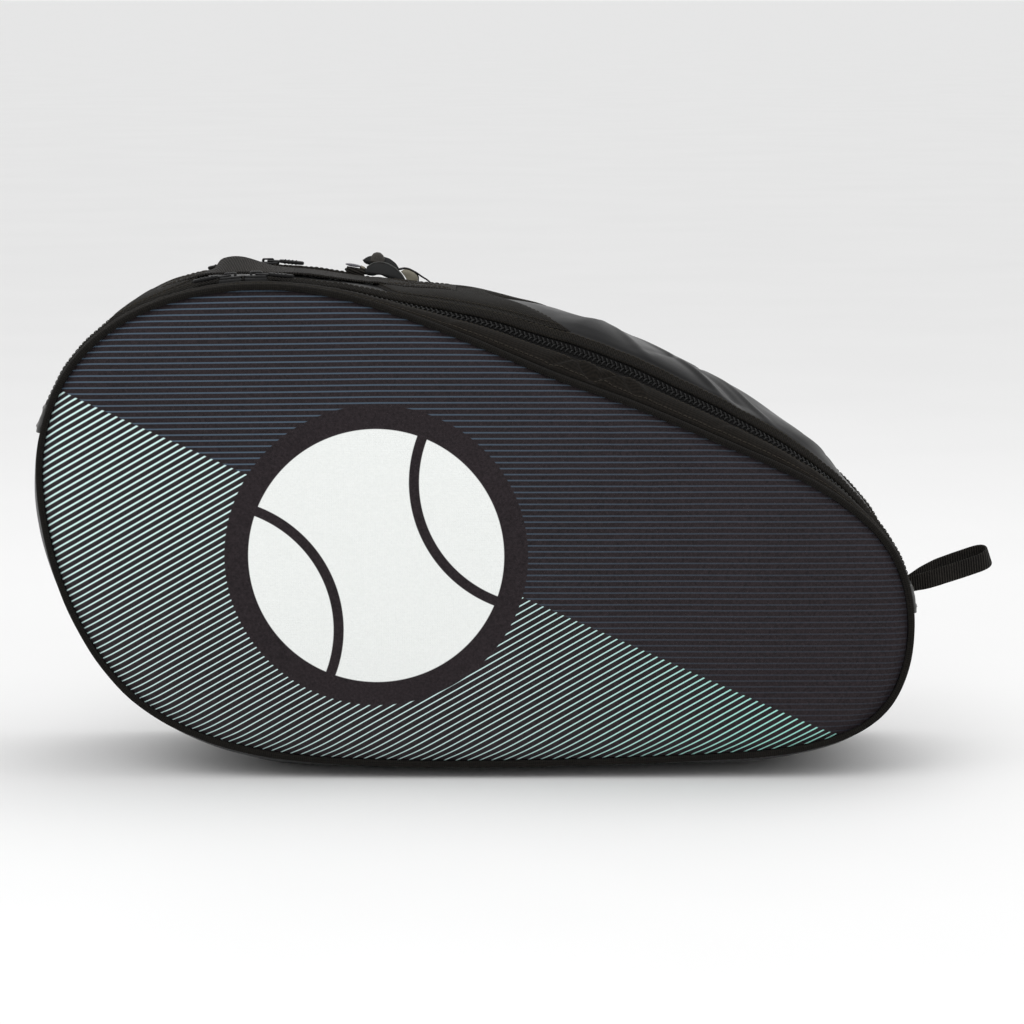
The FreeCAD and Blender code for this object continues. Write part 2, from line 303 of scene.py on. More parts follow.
def belongs(piece, slot, body, *nodes):
    """Hides the frame nodes that a piece stands in for, then sets the piece on its body, or bakes its
    transform when the body is a flap. slot is not used.
    """
    if nodes:
        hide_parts(*nodes)
    if body in FLAPS:
        bend_with_flap(piece)
    else:
        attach(piece, body)


def make_piece(name, points, faces, uv=None, material=None):
    """A mesh object from points in millimetres, with an optional cloth map in millimetres."""
    mesh = bpy.data.meshes.new(name)
    mesh.from_pydata((np.asarray(points).reshape(-1, 3) * MM).tolist(), [], faces)
    if uv is not None:
        layer = mesh.uv_layers.new(name="cloth")
        corner = np.zeros(len(mesh.loops), int)
        mesh.loops.foreach_get("vertex_index", corner)
        layer.data.foreach_set("uv", np.asarray(uv, np.float32).reshape(-1, 2)[corner].ravel())
    mesh.polygons.foreach_set("use_smooth", np.ones(len(mesh.polygons), bool))
    mesh.update()
    piece = show(bpy.data.objects.new(name, mesh))
    if material is not None:
        mesh.materials.append(MATERIALS[material])
    return piece


def grid_faces(rows, columns, wrap_rows=False, wrap_columns=False, start=0):
    faces = []
    for i in range(rows if wrap_rows else rows - 1):
        here, next_row = start + i * columns, start + (i + 1) % rows * columns
        for j in range(columns if wrap_columns else columns - 1):
            k = (j + 1) % columns
            faces.append((here + j, here + k, next_row + k, next_row + j))
    return faces


def capped(rows, columns):
    """Faces of a tube with both ends closed."""
    faces = grid_faces(rows, columns, wrap_columns=True)
    faces.append(tuple(range(columns)))
    faces.append(tuple(range(rows * columns - 1, (rows - 1) * columns - 1, -1)))
    return faces


def tube_faces(rows, sides, start=0):
    """Faces of a round tube, wound the other way from capped."""
    faces = grid_faces(rows, sides, wrap_columns=True, start=start)
    faces.append(tuple(range(start + sides - 1, start - 1, -1)))
    faces.append(tuple(range(start + (rows - 1) * sides, start + rows * sides)))
    return faces


def thin(piece, thickness):
    """Gives a sheet its thickness."""
    layer = piece.modifiers.new("thickness", "SOLIDIFY")
    layer.thickness = thickness * MM
    layer.offset = -1.0


def shares_between(start, end, step=RING_STEP):
    count = max(2, int(round((end - start) * PERIMETER / step)) + 1)
    return np.linspace(start, end, count)


def flat_section(near, far, top, bottom, across):
    """A closed section of cloth with rounded edges: depth and lift, right round."""
    middle, half = (top + bottom) / 2, (top - bottom) / 2
    sign = 1 if far > near else -1
    inset = min(half, abs(far - near) / 3) * sign
    depth = near + inset + (far - near - 2 * inset) * np.linspace(0, 1, across)
    turn = [math.radians(a) for a in np.linspace(90, -90, 5)[1:-1]]
    end = [(far - inset + inset * math.cos(a), middle + half * math.sin(a)) for a in turn]
    start = [(near + inset - inset * math.cos(a), middle - half * math.sin(a)) for a in turn]
    rows = [(d, top) for d in depth] + end
    rows += [(d, bottom) for d in depth[::-1]] + start
    return np.array(rows)


def side_section(side, band, top, bottom, across):
    return flat_section(side * band[0], side * band[1], top, bottom, across)


def full_section(half, top, bottom, across):
    return flat_section(-half, half, top, bottom, across)


def sweep(name, shares, section, material, shape=None, closed=False):
    """Cloth that follows the outline with a closed section. shape(share, depth, lift) moves its points."""
    shares = np.asarray(shares)
    share = shares[:, None] + np.zeros(len(section))
    depth = section[:, 0] + np.zeros((len(shares), 1))
    lift = section[:, 1] + np.zeros((len(shares), 1))
    if shape is not None:
        depth, lift = shape(share, depth, lift)
    points = skin(share, depth, lift)
    run = run_along(section)
    uv = np.stack([share * PERIMETER, run + np.zeros_like(share)], -1)
    rows, columns = len(shares), len(section)
    faces = grid_faces(rows, columns, True, True) if closed else capped(rows, columns)
    if section_turns_left(section):
        faces = flipped(faces)
    return make_piece(name, points, faces, uv, material)


def section_turns_left(section):
    nxt = np.roll(section, -1, axis=0)
    return float((section[:, 0] * nxt[:, 1] - nxt[:, 0] * section[:, 1]).sum()) > 0


def tube_points(path, radius, sides, up):
    """Rings round a path, for a tube that closes at neither end."""
    path = np.asarray(path, float)
    side, over = path_frames(path, up)[1:]
    turn = around(sides)
    ring = side[:, None] * np.cos(turn)[None, :, None] + over[:, None] * np.sin(turn)[None, :, None]
    return path[:, None] + ring * radius


def many_tubes(name, paths, radius, sides, up, material):
    """One object of many short tubes with closed ends, such as stitches or zip teeth."""
    points, faces, start = [], [], 0
    for path in paths:
        rings = tube_points(path, radius, sides, up)
        rows = len(rings)
        points.append(rings.reshape(-1, 3))
        faces += tube_faces(rows, sides, start)
        start += rows * sides
    return make_piece(name, np.concatenate(points), faces, material=material)


# ---- materials ----
def srgb(red, green, blue):
    """A colour given as it looks on screen, 0 to 255, in linear light."""
    parts = []
    for value in (red, green, blue):
        v = value / 255
        parts.append(v / 12.92 if v <= 0.04045 else ((v + 0.055) / 1.055) ** 2.4)
    return (*parts, 1.0)


class Graph:
    """A material's node tree, with short calls for what the materials use."""

    def __init__(self, name):
        self.material = bpy.data.materials.new(name)
        self.material.use_nodes = True
        self.tree = self.material.node_tree
        self.tree.nodes.clear()
        self.shader = self.tree.nodes.new("ShaderNodeBsdfPrincipled")
        output = self.tree.nodes.new("ShaderNodeOutputMaterial")
        self.tree.links.new(self.shader.outputs[0], output.inputs[0])

    def put(self, socket, value):
        if isinstance(value, bpy.types.NodeSocket):
            self.tree.links.new(value, socket)
        elif value is not None:
            socket.default_value = value

    def math(self, operation, a, b=None, c=None, clamp=False):
        node = self.tree.nodes.new("ShaderNodeMath")
        node.operation = operation
        node.use_clamp = clamp
        for socket, value in zip(node.inputs, (a, b, c)):
            self.put(socket, value)
        return node.outputs[0]

    def cloth_map(self):
        node = self.tree.nodes.new("ShaderNodeUVMap")
        node.uv_map = "cloth"
        split = self.tree.nodes.new("ShaderNodeSeparateXYZ")
        self.tree.links.new(node.outputs[0], split.inputs[0])
        return split.outputs[0], split.outputs[1]

    def place(self):
        node = self.tree.nodes.new("ShaderNodeTexCoord")
        return node.outputs["Object"]

    def noise(self, vector, scale, detail, roughness=0.55):
        node = self.tree.nodes.new("ShaderNodeTexNoise")
        self.put(node.inputs["Vector"], vector)
        node.inputs["Scale"].default_value = scale
        node.inputs["Detail"].default_value = detail
        node.inputs["Roughness"].default_value = roughness
        return node.outputs["Fac"]

    def span(self, value, low, high, to_low, to_high):
        node = self.tree.nodes.new("ShaderNodeMapRange")
        node.interpolation_type = "SMOOTHSTEP"
        for index, v in enumerate((value, low, high, to_low, to_high)):
            self.put(node.inputs[index], v)
        return node.outputs[0]

    def mix(self, share, a, b):
        node = self.tree.nodes.new("ShaderNodeMix")
        node.data_type = "RGBA"
        self.put(node.inputs[0], share)
        self.put(node.inputs[6], a)
        self.put(node.inputs[7], b)
        return node.outputs[2]

    def tones(self, share, dark, light):
        return self.mix(share, srgb(*dark), srgb(*light))

    def wave(self, value, pitch):
        """Rises and falls between 0 and 1 over each pitch."""
        angle = self.math("MULTIPLY", value, 2 * math.pi / pitch)
        return self.math("MULTIPLY_ADD", self.math("SINE", angle), 0.5, 0.5)

    def finish(self, colour, roughness, height=None, depth=0.1, sheen=0.0, coat=0.0, specular=0.4, metal=0.0):
        self.put(self.shader.inputs["Base Color"], colour)
        self.put(self.shader.inputs["Roughness"], roughness)
        self.shader.inputs["Metallic"].default_value = metal
        self.shader.inputs["Specular IOR Level"].default_value = specular
        self.shader.inputs["Sheen Weight"].default_value = sheen
        self.shader.inputs["Sheen Roughness"].default_value = 0.45
        self.shader.inputs["Coat Weight"].default_value = coat
        if height is not None:
            node = self.tree.nodes.new("ShaderNodeBump")
            node.inputs["Strength"].default_value = 1.0
            node.inputs["Distance"].default_value = depth * MM
            self.tree.links.new(height, node.inputs["Height"])
            self.tree.links.new(node.outputs[0], self.shader.inputs["Normal"])
        return self.material


def weave_height(graph, kind, u, v, pitch):
    """The height of a weave, 0 to 1, from the cloth map."""
    if kind == "twill":
        slant = graph.math("ADD", graph.math("MULTIPLY", u, 0.8), v)
        cross = graph.wave(graph.math("SUBTRACT", u, v), pitch * 1.7)
        return graph.math("MULTIPLY_ADD", cross, 0.3, graph.math("MULTIPLY", graph.wave(slant, pitch), 0.7))
    if kind == "rib":
        cross = graph.wave(u, pitch * 2.1)
        return graph.math("MULTIPLY_ADD", cross, 0.3, graph.math("MULTIPLY", graph.wave(v, pitch), 0.7))
    if kind == "webbing":
        slant = graph.math("MULTIPLY_ADD", v, 0.22, u)
        rib = graph.math("POWER", graph.wave(slant, pitch), 1.6)
        return graph.math("MULTIPLY_ADD", graph.wave(v, pitch * 0.6), 0.18, graph.math("MULTIPLY", rib, 0.82))
    across = graph.wave(u, pitch)
    return graph.math("MULTIPLY", across, graph.wave(v, pitch))


def cloth(name, dark, light, kind, pitch, relief, roughness=0.85, fleck=0.45):
    """Woven cloth: two tones from the weave, a fine grain and slow patches of wear."""
    graph = Graph(name)
    u, v = graph.cloth_map()
    place = graph.place()
    weave = weave_height(graph, kind, u, v, pitch)
    grain = graph.noise(place, 650, 3.0, 0.7)
    slow = graph.noise(place, 28, 4.0)
    tone = graph.math("MULTIPLY_ADD", weave, 0.6, graph.math("MULTIPLY_ADD", grain, fleck * 2, -fleck * 0.7))
    tone = graph.math("ADD", tone, graph.math("MULTIPLY_ADD", slow, 0.5, -0.3), clamp=True)
    height = graph.math("MULTIPLY_ADD", grain, 0.5, weave)
    rough = graph.span(slow, 0.3, 0.7, roughness - 0.06, roughness + 0.06)
    return graph.finish(graph.tones(tone, dark, light), rough, height, relief, 0.02, specular=0.1)


def coated(name, dark, light, roughness, specular):
    """Smooth coated cloth: a faint grain under a soft gloss, with scuffed patches."""
    graph = Graph(name)
    place = graph.place()
    grain = graph.noise(place, 900, 3.0)
    slow = graph.noise(place, 18, 5.0)
    tone = graph.math("MULTIPLY_ADD", grain, 0.5, graph.math("MULTIPLY_ADD", slow, 0.8, -0.35), clamp=True)
    rough = graph.span(slow, 0.3, 0.7, roughness - 0.08, roughness + 0.1)
    height = graph.math("MULTIPLY_ADD", grain, 0.6, slow)
    return graph.finish(graph.tones(tone, dark, light), rough, height, 0.09, 0.02, specular=specular)


def moulded(name, dark, light, roughness, metal=0.0, specular=0.5, coat=0.0):
    """Moulded plastic, rubber or painted metal, with fine texture and handling marks."""
    graph = Graph(name)
    place = graph.place()
    grain = graph.noise(place, 2200, 2.0)
    marks = graph.noise(place, 160, 5.0)
    tone = graph.math("MULTIPLY_ADD", grain, 0.35, graph.math("MULTIPLY_ADD", marks, 0.9, -0.35), clamp=True)
    rough = graph.span(marks, 0.3, 0.7, roughness - 0.08, roughness + 0.12)
    return graph.finish(graph.tones(tone, dark, light), rough, grain, 0.03, 0.0, coat, specular, metal)


# ---- the printed front ----
BALL_CENTRE = (-62.0, 143.0)
BALL_RADIUS = 80.0
HALO = 15.0
DIVIDE_LEFT = (-257.0, 246.0)
DIVIDE_RIGHT = (229.5, 27.0)


def level_stripes(graph, x, z, base):
    """Level slate stripes that lift a little to the left and fade to the right and down."""
    g = graph.math
    rise = g("MULTIPLY", g("MINIMUM", g("ADD", x, 60.0), 0.0), -0.012)
    level = g("ADD", z, rise)
    row = g("PINGPONG", level, 1.87)
    slate = graph.span(row, 0.32, 0.62, 1.0, 0.0)
    fade = g("MULTIPLY", graph.span(x, -150.0, 270.0, 1.0, 0.30), graph.span(z, 40.0, 210.0, 0.55, 1.0))
    slate = g("MULTIPLY", slate, fade)
    return graph.mix(slate, base, srgb(70, 84, 98))


def slanted_stripes(graph, x, z, base):
    """Pale slanted stripes whose width swells and thins across the panel."""
    g = graph.math
    slant = math.radians(30)
    across = g("ADD", g("MULTIPLY", x, -math.sin(slant)), g("MULTIPLY", z, math.cos(slant)))
    line = g("PINGPONG", across, 1.875)
    low_left = g("MULTIPLY", graph.span(z, 30.0, 200.0, 0.0, 1.0), graph.span(x, -250.0, -30.0, 1.0, 0.2))
    right = graph.span(x, -40.0, 220.0, 0.0, 1.0)
    width = g("MAXIMUM", g("MULTIPLY_ADD", low_left, 0.26, 0.33), g("MULTIPLY_ADD", right, 0.10, 0.33))
    pale = graph.span(g("SUBTRACT", line, width), -0.12, 0.14, 1.0, 0.0)
    tint = graph.mix(right, srgb(200, 226, 224), srgb(158, 220, 208))
    return graph.mix(pale, base, tint)


def ball_print(graph, x, z, stripes, base, grain):
    """A plain dark halo round a white ball with two curved seams."""
    g = graph.math
    def reach(cx, cz):
        dx, dz = g("SUBTRACT", x, cx), g("SUBTRACT", z, cz)
        return g("SQRT", g("ADD", g("MULTIPLY", dx, dx), g("MULTIPLY", dz, dz)))

    far = reach(*BALL_CENTRE)
    clear = graph.span(far, BALL_RADIUS + HALO - 0.3, BALL_RADIUS + HALO + 0.3, 1.0, 0.0)
    cloth_colour = graph.mix(clear, stripes, base)
    ball = graph.span(far, BALL_RADIUS - 0.3, BALL_RADIUS + 0.3, 1.0, 0.0)
    tilt = math.radians(24)
    seam = None
    for way in (-1, 1):
        away = 1.42 * BALL_RADIUS * way
        ring = reach(BALL_CENTRE[0] + away * math.cos(tilt), BALL_CENTRE[1] + away * math.sin(tilt))
        gap = g("ABSOLUTE", g("SUBTRACT", ring, BALL_RADIUS))
        mark = graph.span(gap, 2.9, 3.5, 1.0, 0.0)
        seam = mark if seam is None else g("MAXIMUM", seam, mark)
    ball = g("MULTIPLY", ball, g("SUBTRACT", 1.0, seam))
    white = graph.mix(grain, srgb(222, 225, 223), srgb(238, 240, 238))
    return graph.mix(ball, cloth_colour, white)


def printed_cloth():
    """Printed cloth: level slate stripes above a falling line, pale slanted stripes below it, and a ball."""
    graph = Graph("printed_cloth")
    x, z = graph.cloth_map()
    place = graph.place()
    g = graph.math
    grain = graph.noise(place, 620, 3.0, 0.75)
    slow = graph.noise(place, 22, 4.0)
    worn = g("MULTIPLY_ADD", grain, 1.7, g("MULTIPLY_ADD", slow, 0.4, -0.6), clamp=True)
    base = graph.mix(worn, srgb(22, 18, 20), srgb(50, 43, 46))
    upper = level_stripes(graph, x, z, base)
    lower = slanted_stripes(graph, x, z, base)

    run = (DIVIDE_RIGHT[0] - DIVIDE_LEFT[0], DIVIDE_RIGHT[1] - DIVIDE_LEFT[1])
    size = math.hypot(*run)
    over = g("ADD", g("MULTIPLY", x, -run[1] / size), g("MULTIPLY", z, run[0] / size))
    offset = (-DIVIDE_LEFT[0] * run[1] + DIVIDE_LEFT[1] * run[0]) / size
    side = graph.span(over, offset - 0.25, offset + 0.25, 0.0, 1.0)
    stripes = graph.mix(side, lower, upper)
    colour = ball_print(graph, x, z, stripes, base, grain)

    weave = g("MULTIPLY", graph.wave(x, 1.1), graph.wave(z, 1.1))
    height = g("MULTIPLY_ADD", grain, 0.6, weave)
    rough = graph.math("MULTIPLY_ADD", slow, 0.16, 0.62)
    return graph.finish(colour, rough, height, 0.10, 0.01, specular=0.12)


def make_materials():
    return {
        "print": printed_cloth(),
        "plain": cloth("plain_cloth", (22, 20, 21), (52, 48, 49), "plain", 1.1, 0.10),
        "piping": cloth("piping_weave", (12, 11, 10), (38, 35, 31), "plain", 1.3, 0.22),
        "strip": cloth("ribbed_cloth", (11, 10, 8), (31, 27, 23), "rib", 1.3, 0.14),
        "centre": coated("coated_cloth", (7, 7, 8), (15, 15, 16), 0.36, 0.07),
        "base": coated("coated_base", (24, 24, 25), (42, 42, 43), 0.42, 0.34),
        "tab": coated("end_tab_cloth", (40, 40, 39), (72, 72, 70), 0.36, 0.45),
        "twill": cloth("twill", (6, 6, 5), (40, 37, 33), "twill", 1.5, 0.32, fleck=0.5),
        "webbing": cloth("webbing", (4, 4, 4), (66, 62, 57), "webbing", 1.65, 0.6, 0.75, fleck=0.2),
        "tape": cloth("zip_tape", (5, 5, 5), (15, 14, 14), "twill", 1.3, 0.15),
        "coil": moulded("zip_coil", (3, 3, 3), (11, 11, 11), 0.36, specular=0.22),
        "thread": cloth("thread", (40, 37, 32), (80, 75, 66), "plain", 0.6, 0.05),
        "lining": cloth("lining", (14, 14, 15), (32, 32, 34), "plain", 1.0, 0.06),
        "binding": cloth("binding", (8, 8, 8), (24, 24, 24), "rib", 1.2, 0.12),
        "slider": moulded("slider_metal", (8, 8, 8), (26, 26, 27), 0.42, 0.3),
        "pull": moulded("pull_rubber", (7, 7, 7), (22, 22, 22), 0.6, specular=0.2),
        "hook": moulded("hook_plastic", (9, 9, 9), (34, 36, 37), 0.36, specular=0.35),
        # Pale grey rod along the hook's upper edge: a painted highlight.
        "rim": moulded("hook_rim_painted_highlight", (48, 48, 47), (86, 87, 84), 0.34),
        # Pale lilac grey on the barrel: a painted reflection on glossy black plastic.
        "lens": moulded("hook_barrel_painted_reflection", (74, 73, 79), (112, 111, 118), 0.16, coat=0.4),
        "nub": moulded("hook_nub", (104, 97, 84), (150, 142, 126), 0.3, 0.5),
        "knob": moulded("hook_knob", (38, 35, 31), (74, 69, 62), 0.4),
        "plate": moulded("hook_plate", (116, 112, 98), (156, 150, 134), 0.38, 0.3),
        "arm": moulded("hook_arm", (12, 10, 10), (32, 28, 27), 0.3, 0.3),
    }


MATERIALS = make_materials()


# ---- panels ----
def panel_grid(lift, columns, rows):
    """A grid inside the outline, finer at its edge: X and Z of each point, its way to the edge, and faces."""
    def spread(count):
        return np.sin(np.linspace(-1.35, 1.35, count)) / math.sin(1.35)

    u, v = np.meshgrid(spread(columns), spread(rows), indexing="ij")
    round_x, round_z = u * np.sqrt(1 - v ** 2 / 2), v * np.sqrt(1 - u ** 2 / 2)
    reach = np.minimum(np.hypot(round_x, round_z), 1)
    turn = np.arctan2(round_z, round_x)
    place, out = edge(np.arange(1600) / 1600)
    rim = place + out * lift
    middle, half = (rim.min(0) + rim.max(0)) / 2, (rim.max(0) - rim.min(0)) / 2
    rim_turn = np.arctan2((rim[:, 1] - middle[1]) / half[1], (rim[:, 0] - middle[0]) / half[0])
    order = np.argsort(rim_turn)
    at_turn = [np.interp(turn, rim_turn[order], rim[order, i], period=2 * np.pi) for i in (0, 1)]
    flat = middle + (np.stack(at_turn, -1) - middle) * reach[..., None]
    inside, toward = np.empty(reach.shape), np.empty(flat.shape)
    for i in range(columns):
        gaps = rim[None] - flat[i][:, None]
        away = np.hypot(gaps[..., 0], gaps[..., 1])
        nearest = away.argmin(1)
        inside[i] = away[np.arange(rows), nearest]
        toward[i] = out[nearest]
    return flat.reshape(-1, 2), inside.ravel(), toward.reshape(-1, 2), grid_faces(columns, rows)


def crown(inside):
    """How far the padded panel stands proud of its edge seam, before any crease."""
    return 4.4 * (1 - np.exp(-((inside / 6.0) ** 1.3))) + 3.6 * (1 - np.exp(-inside / 42.0))


def cloth_taken(inside):
    """How much more cloth the crowned edge takes up than a flat one, from a point to the middle."""
    steps = np.linspace(0, 120, 600)
    slope = np.gradient(crown(steps), steps)
    spare = np.sqrt(1 + slope ** 2) - 1
    left = (spare[::-1].cumsum() * (steps[1] - steps[0]))[::-1]
    return np.interp(inside, steps, left)


def panel_relief(x, z, inside):
    """The crown with its creases and the pucker of its seam."""
    soft = np.clip(inside / 30, 0, 1)
    waves = 0.55 * np.sin(x / 37 + z / 52) * np.sin(z / 41 - x / 90 + 1.0)
    waves = waves + 0.40 * np.sin(x / 19 - z / 33 + 2.0) * bump(x, 150, 90)
    creases = 0
    for way, far, wide, deep, middle_x, reach in (
        (0.42, 262, 6, 1.3, 60, 60), (0.30, 236, 7, -1.2, 110, 60), (1.30, 330, 8, 1.1, 90, 45),
        (1.10, 262, 7, -0.6, 70, 50), (-0.9, 60, 9, 0.5, 170, 60), (0.2, 300, 5, 0.4, -60, 90),
    ):
        creases = creases + deep * bump(x * way + z - far, 0, wide) * bump(x, middle_x, reach)
    pucker = 0.22 * np.sin(x / 4.1 + z / 5.3) * np.exp(-((inside / 6.0) ** 2)) * np.clip(inside / 1.5, 0, 1)
    pucker = pucker + 0.35 * np.sin(x / 9.7 - z / 12.1) * np.exp(-(((inside - 8) / 9.0) ** 2))
    return crown(inside) + soft * (waves + creases) + pucker


def bend_with_flap(piece):
    """Bakes a flap piece's transform into its mesh."""
    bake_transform(piece)


def panel(name, side):
    """The outer cloth over its foam."""
    flat, inside, toward, faces = panel_grid(-PIPING_TO_PANEL + 0.5, *PANEL_GRID)
    x, z = flat[:, 0], flat[:, 1]
    depth = HALF_DEPTH - 1.6 + panel_relief(x, z, inside)
    points = np.stack([x, side * depth, z], -1)
    turned = faces if side > 0 else flipped(faces)
    material = "print" if side < 0 else "plain"
    cloth_map = flat + toward * cloth_taken(inside)[:, None]
    piece = make_piece(f"{name}_panel", points, turned, cloth_map, material)
    thin(piece, PANEL_CLOTH)
    halves = [f"{name}_{layer}_{part}" for layer in ("panel", "foam") for part in ("upper", "lower")]
    belongs(piece, "printed_polyester" if side < 0 else "plain_polyester", name, *halves)


def panel_lining(name, side):
    """The faintly quilted lining behind a panel."""
    flat, inside, _, faces = panel_grid(-PIPING_TO_PANEL - 1.0, *LINING_GRID)
    x, z = flat[:, 0], flat[:, 1]
    quilt = 0.6 * (1 - np.exp(-inside / 8)) * (1 + 0.5 * np.sin(x / 31) * np.sin(z / 27 + 0.8))
    points = np.stack([x, side * (HALF_DEPTH - 5.0 - quilt), z], -1)
    turned = faces if side < 0 else flipped(faces)
    back = make_piece(f"{name}_lining", points, turned, flat, "lining")
    thin(back, LINING_CLOTH)
    belongs(back, "lining", name, f"{name}_lining_upper", f"{name}_lining_lower")


def piping(name, side):
    """A woven tube over cord, round the panel's edge."""
    turn = around(PIPING_SIDES)
    rings = shares_between(0, 1)[:-1]
    place, out = edge(rings)
    run = rings * PERIMETER
    radius = PIPING_RADIUS + 0.06 * np.sin(run / 5.2) + 0.05 * np.sin(run / 13.0)
    depth = side * (HALF_DEPTH + radius[:, None] * np.cos(turn))
    lift = radius[:, None] * np.sin(turn)
    flat = place[:, None] + out[:, None] * lift[..., None]
    points = np.stack([flat[..., 0], depth, flat[..., 1]], -1)
    uv = tube_map(run, turn * PIPING_RADIUS)
    faces = grid_faces(len(rings), len(turn), True, True)
    if side > 0:
        faces = flipped(faces)
    piece = make_piece(f"{name}_piping", points, faces, uv, "piping")
    belongs(piece, "piping_weave", name, f"{name}_piping_upper", f"{name}_piping_lower")


# ---- places on top of the bag ----
TOP_SHARES = np.linspace(ZIP_START, ZIP_END, 1500)
TOP_X = edge(TOP_SHARES)[0][:, 0]


def top_share(x):
    """The share over x on top of the bag."""
    return np.interp(x, TOP_X, TOP_SHARES)


# ---- stitches ----
def stitch_paths(points, normals):
    """Dashes of thread along a line on the cloth, arched so that their ends dip into it."""
    points, normals = np.asarray(points, float), np.asarray(normals, float)
    run = run_along(points)
    paths = []
    walk = np.linspace(0, 1, 4)
    for start in np.arange(STITCH_GAP, run[-1] - STITCH_LENGTH, STITCH_LENGTH + STITCH_GAP):
        spots = start + STITCH_LENGTH * walk
        place = np.stack([np.interp(spots, run, points[:, i]) for i in range(3)], -1)
        out = np.stack([np.interp(spots, run, normals[:, i]) for i in range(3)], -1)
        paths.append(place + out * (np.sin(np.pi * walk) * STITCH_RISE - STITCH_SINK)[:, None])
    return paths


def band_line(start, end, depth, lift, shape):
    """A line along the gusset at one depth, with its normals."""
    share = shares_between(start, end)
    depths, lifts = np.full(len(share), float(depth)), np.full(len(share), float(lift))
    depths, lifts = shape(share, depths, lifts)
    return skin(share, depths, lifts), outward(share)


def sewn(name, lines, body, slot, up=(0, 1, 0), radius=THREAD_RADIUS):
    """Thread stitched along several lines, in one piece."""
    paths = [path for points, normals in lines for path in stitch_paths(points, normals)]
    piece = many_tubes(name, paths, radius, 5, up, "thread")
    belongs(piece, slot, body)


# ---- gusset ----
PINCH_X = 66.0


def pinched(share, depth, lift):
    """The gusset strip's shape: a soft roll, pinched past the crest, that sinks under the end tabs."""
    x = np.interp(share, TOP_SHARES, TOP_X)
    across = (HALF_DEPTH - 2.6 - np.abs(depth)) / 10.8
    roll = np.sin(np.pi * np.clip(across, 0, 1))
    fold = 0
    for centre, deep, slant in (
        (PINCH_X - 16, 1.5, 15), (PINCH_X - 1, 2.2, -15), (PINCH_X + 12, 2.0, 16), (PINCH_X + 27, 1.3, -14),
        (-18, 0.3, 12), (150, 0.45, 14), (205, 0.35, -12),
    ):
        slanted = x - centre - (across - 0.5) * slant
        fold = fold - deep * bump(slanted, 0, 3.0) + 0.6 * deep * bump(slanted, 6.5, 4.0)
    ends = bump(share, ZIP_START, 8 / PERIMETER) + bump(share, ZIP_END, 8 / PERIMETER)
    fine = 0.14 * np.sin(share * PERIMETER / 1.9) * np.sin(share * PERIMETER / 9.1)
    new_lift = lift + roll * (1.7 + 1.5 * fold + fine) - 1.0 * ends
    return depth, new_lift


def strip(name, side):
    """The ribbed strip beside the zip, with its two rows of stitches."""
    section = side_section(side, STRIP_BAND, 0.7, -0.8, 16)
    shares = shares_between(ZIP_START - 2 / PERIMETER, ZIP_END + 2 / PERIMETER, 1.2)
    piece = sweep(f"{name}_gusset_strip", shares, section, "strip", pinched)
    belongs(piece, "ribbed_polyester", name, f"{name}_gusset_strip")
    lines = [band_line(ZIP_START + 0.004, ZIP_END - 0.004, side * d, 0.78, pinched) for d in STRIP_SEAMS]
    sewn(f"{name}_strip_stitches", lines, name, "ribbed_polyester")


def flange(name, side):
    """The sewn edge of the piping, flat on the gusset."""
    section = side_section(side, FLANGE_BAND, -0.1, -0.9, 4)
    rings = shares_between(0, 1)[:-1]
    piece = sweep(f"{name}_piping_flange", rings, section, "piping", closed=True)
    belongs(piece, "piping_weave", name)


def binding(name, side):
    """Tape bound over the raw seam inside the bag."""
    section = side_section(side, BINDING_BAND, -2.2, -4.6, 8)
    piece = sweep(f"{name}_binding", shares_between(0, 1, 3)[:-1], section, "binding", closed=True)
    belongs(piece, "binding_tape", name, f"{name}_binding_upper", f"{name}_binding_lower")


TOOTH_PITCH = 3.1


def coil_paths(near, far, phase):
    """Slanted teeth, each a loop of wire from the tape up and over to the meeting line."""
    paths = []
    count = int((ZIP_END - ZIP_START) * PERIMETER / TOOTH_PITCH)
    away = near - far
    for i in range(1, count - 1):
        share = ZIP_START + (i + phase) * TOOTH_PITCH / PERIMETER
        slant = 0.9 / PERIMETER
        steps = [(0.98, -0.9, 0), (0.94, 0.15, 0.2), (0.7, 0.62, 0.6), (0.35, 0.66, 1.3)]
        steps += [(0.02, 0.35, 2.0), (-0.10, -0.35, 2.3), (0.1, -0.85, 2.6)]
        shares = np.array([share + slant * step[2] for step in steps])
        depths = np.array([far + away * step[0] for step in steps])
        lifts = np.array([step[1] for step in steps])
        paths.append(skin(shares, depths, lifts - 1.0))
    return paths


def zip_side(name, side, half, near, far, tape_near, tape_far, phase):
    """One half of a zip: its tape, the sewn core and the coil's teeth."""
    body = name if half == "outer" else "shell"
    start, end = ZIP_START + 1 / PERIMETER, ZIP_END - 1 / PERIMETER
    section = flat_section(side * tape_near, side * tape_far, -1.4, -2.2, 6)
    tape = sweep(f"{name}_{half}_tape", shares_between(start, end, 3), section, "tape")
    belongs(tape, "zip_tape", body, f"{name}_{half}_tape")
    teeth = many_tubes(
        f"{name}_{half}_coil", coil_paths(side * near, side * far, phase), 0.52, 6, (0.3, 0.1, 1), "coil"
    )
    belongs(teeth, "zip_coil", body, f"{name}_{half}_coil")
    core_low, core_high = sorted((near, far))
    section = flat_section(side * (core_high - 0.5), side * (core_low + 0.6), -1.0, -1.42, 5)
    core = sweep(f"{name}_{half}_coil_core", shares_between(start, end, 3), section, "tape")
    belongs(core, "zip_tape", body)


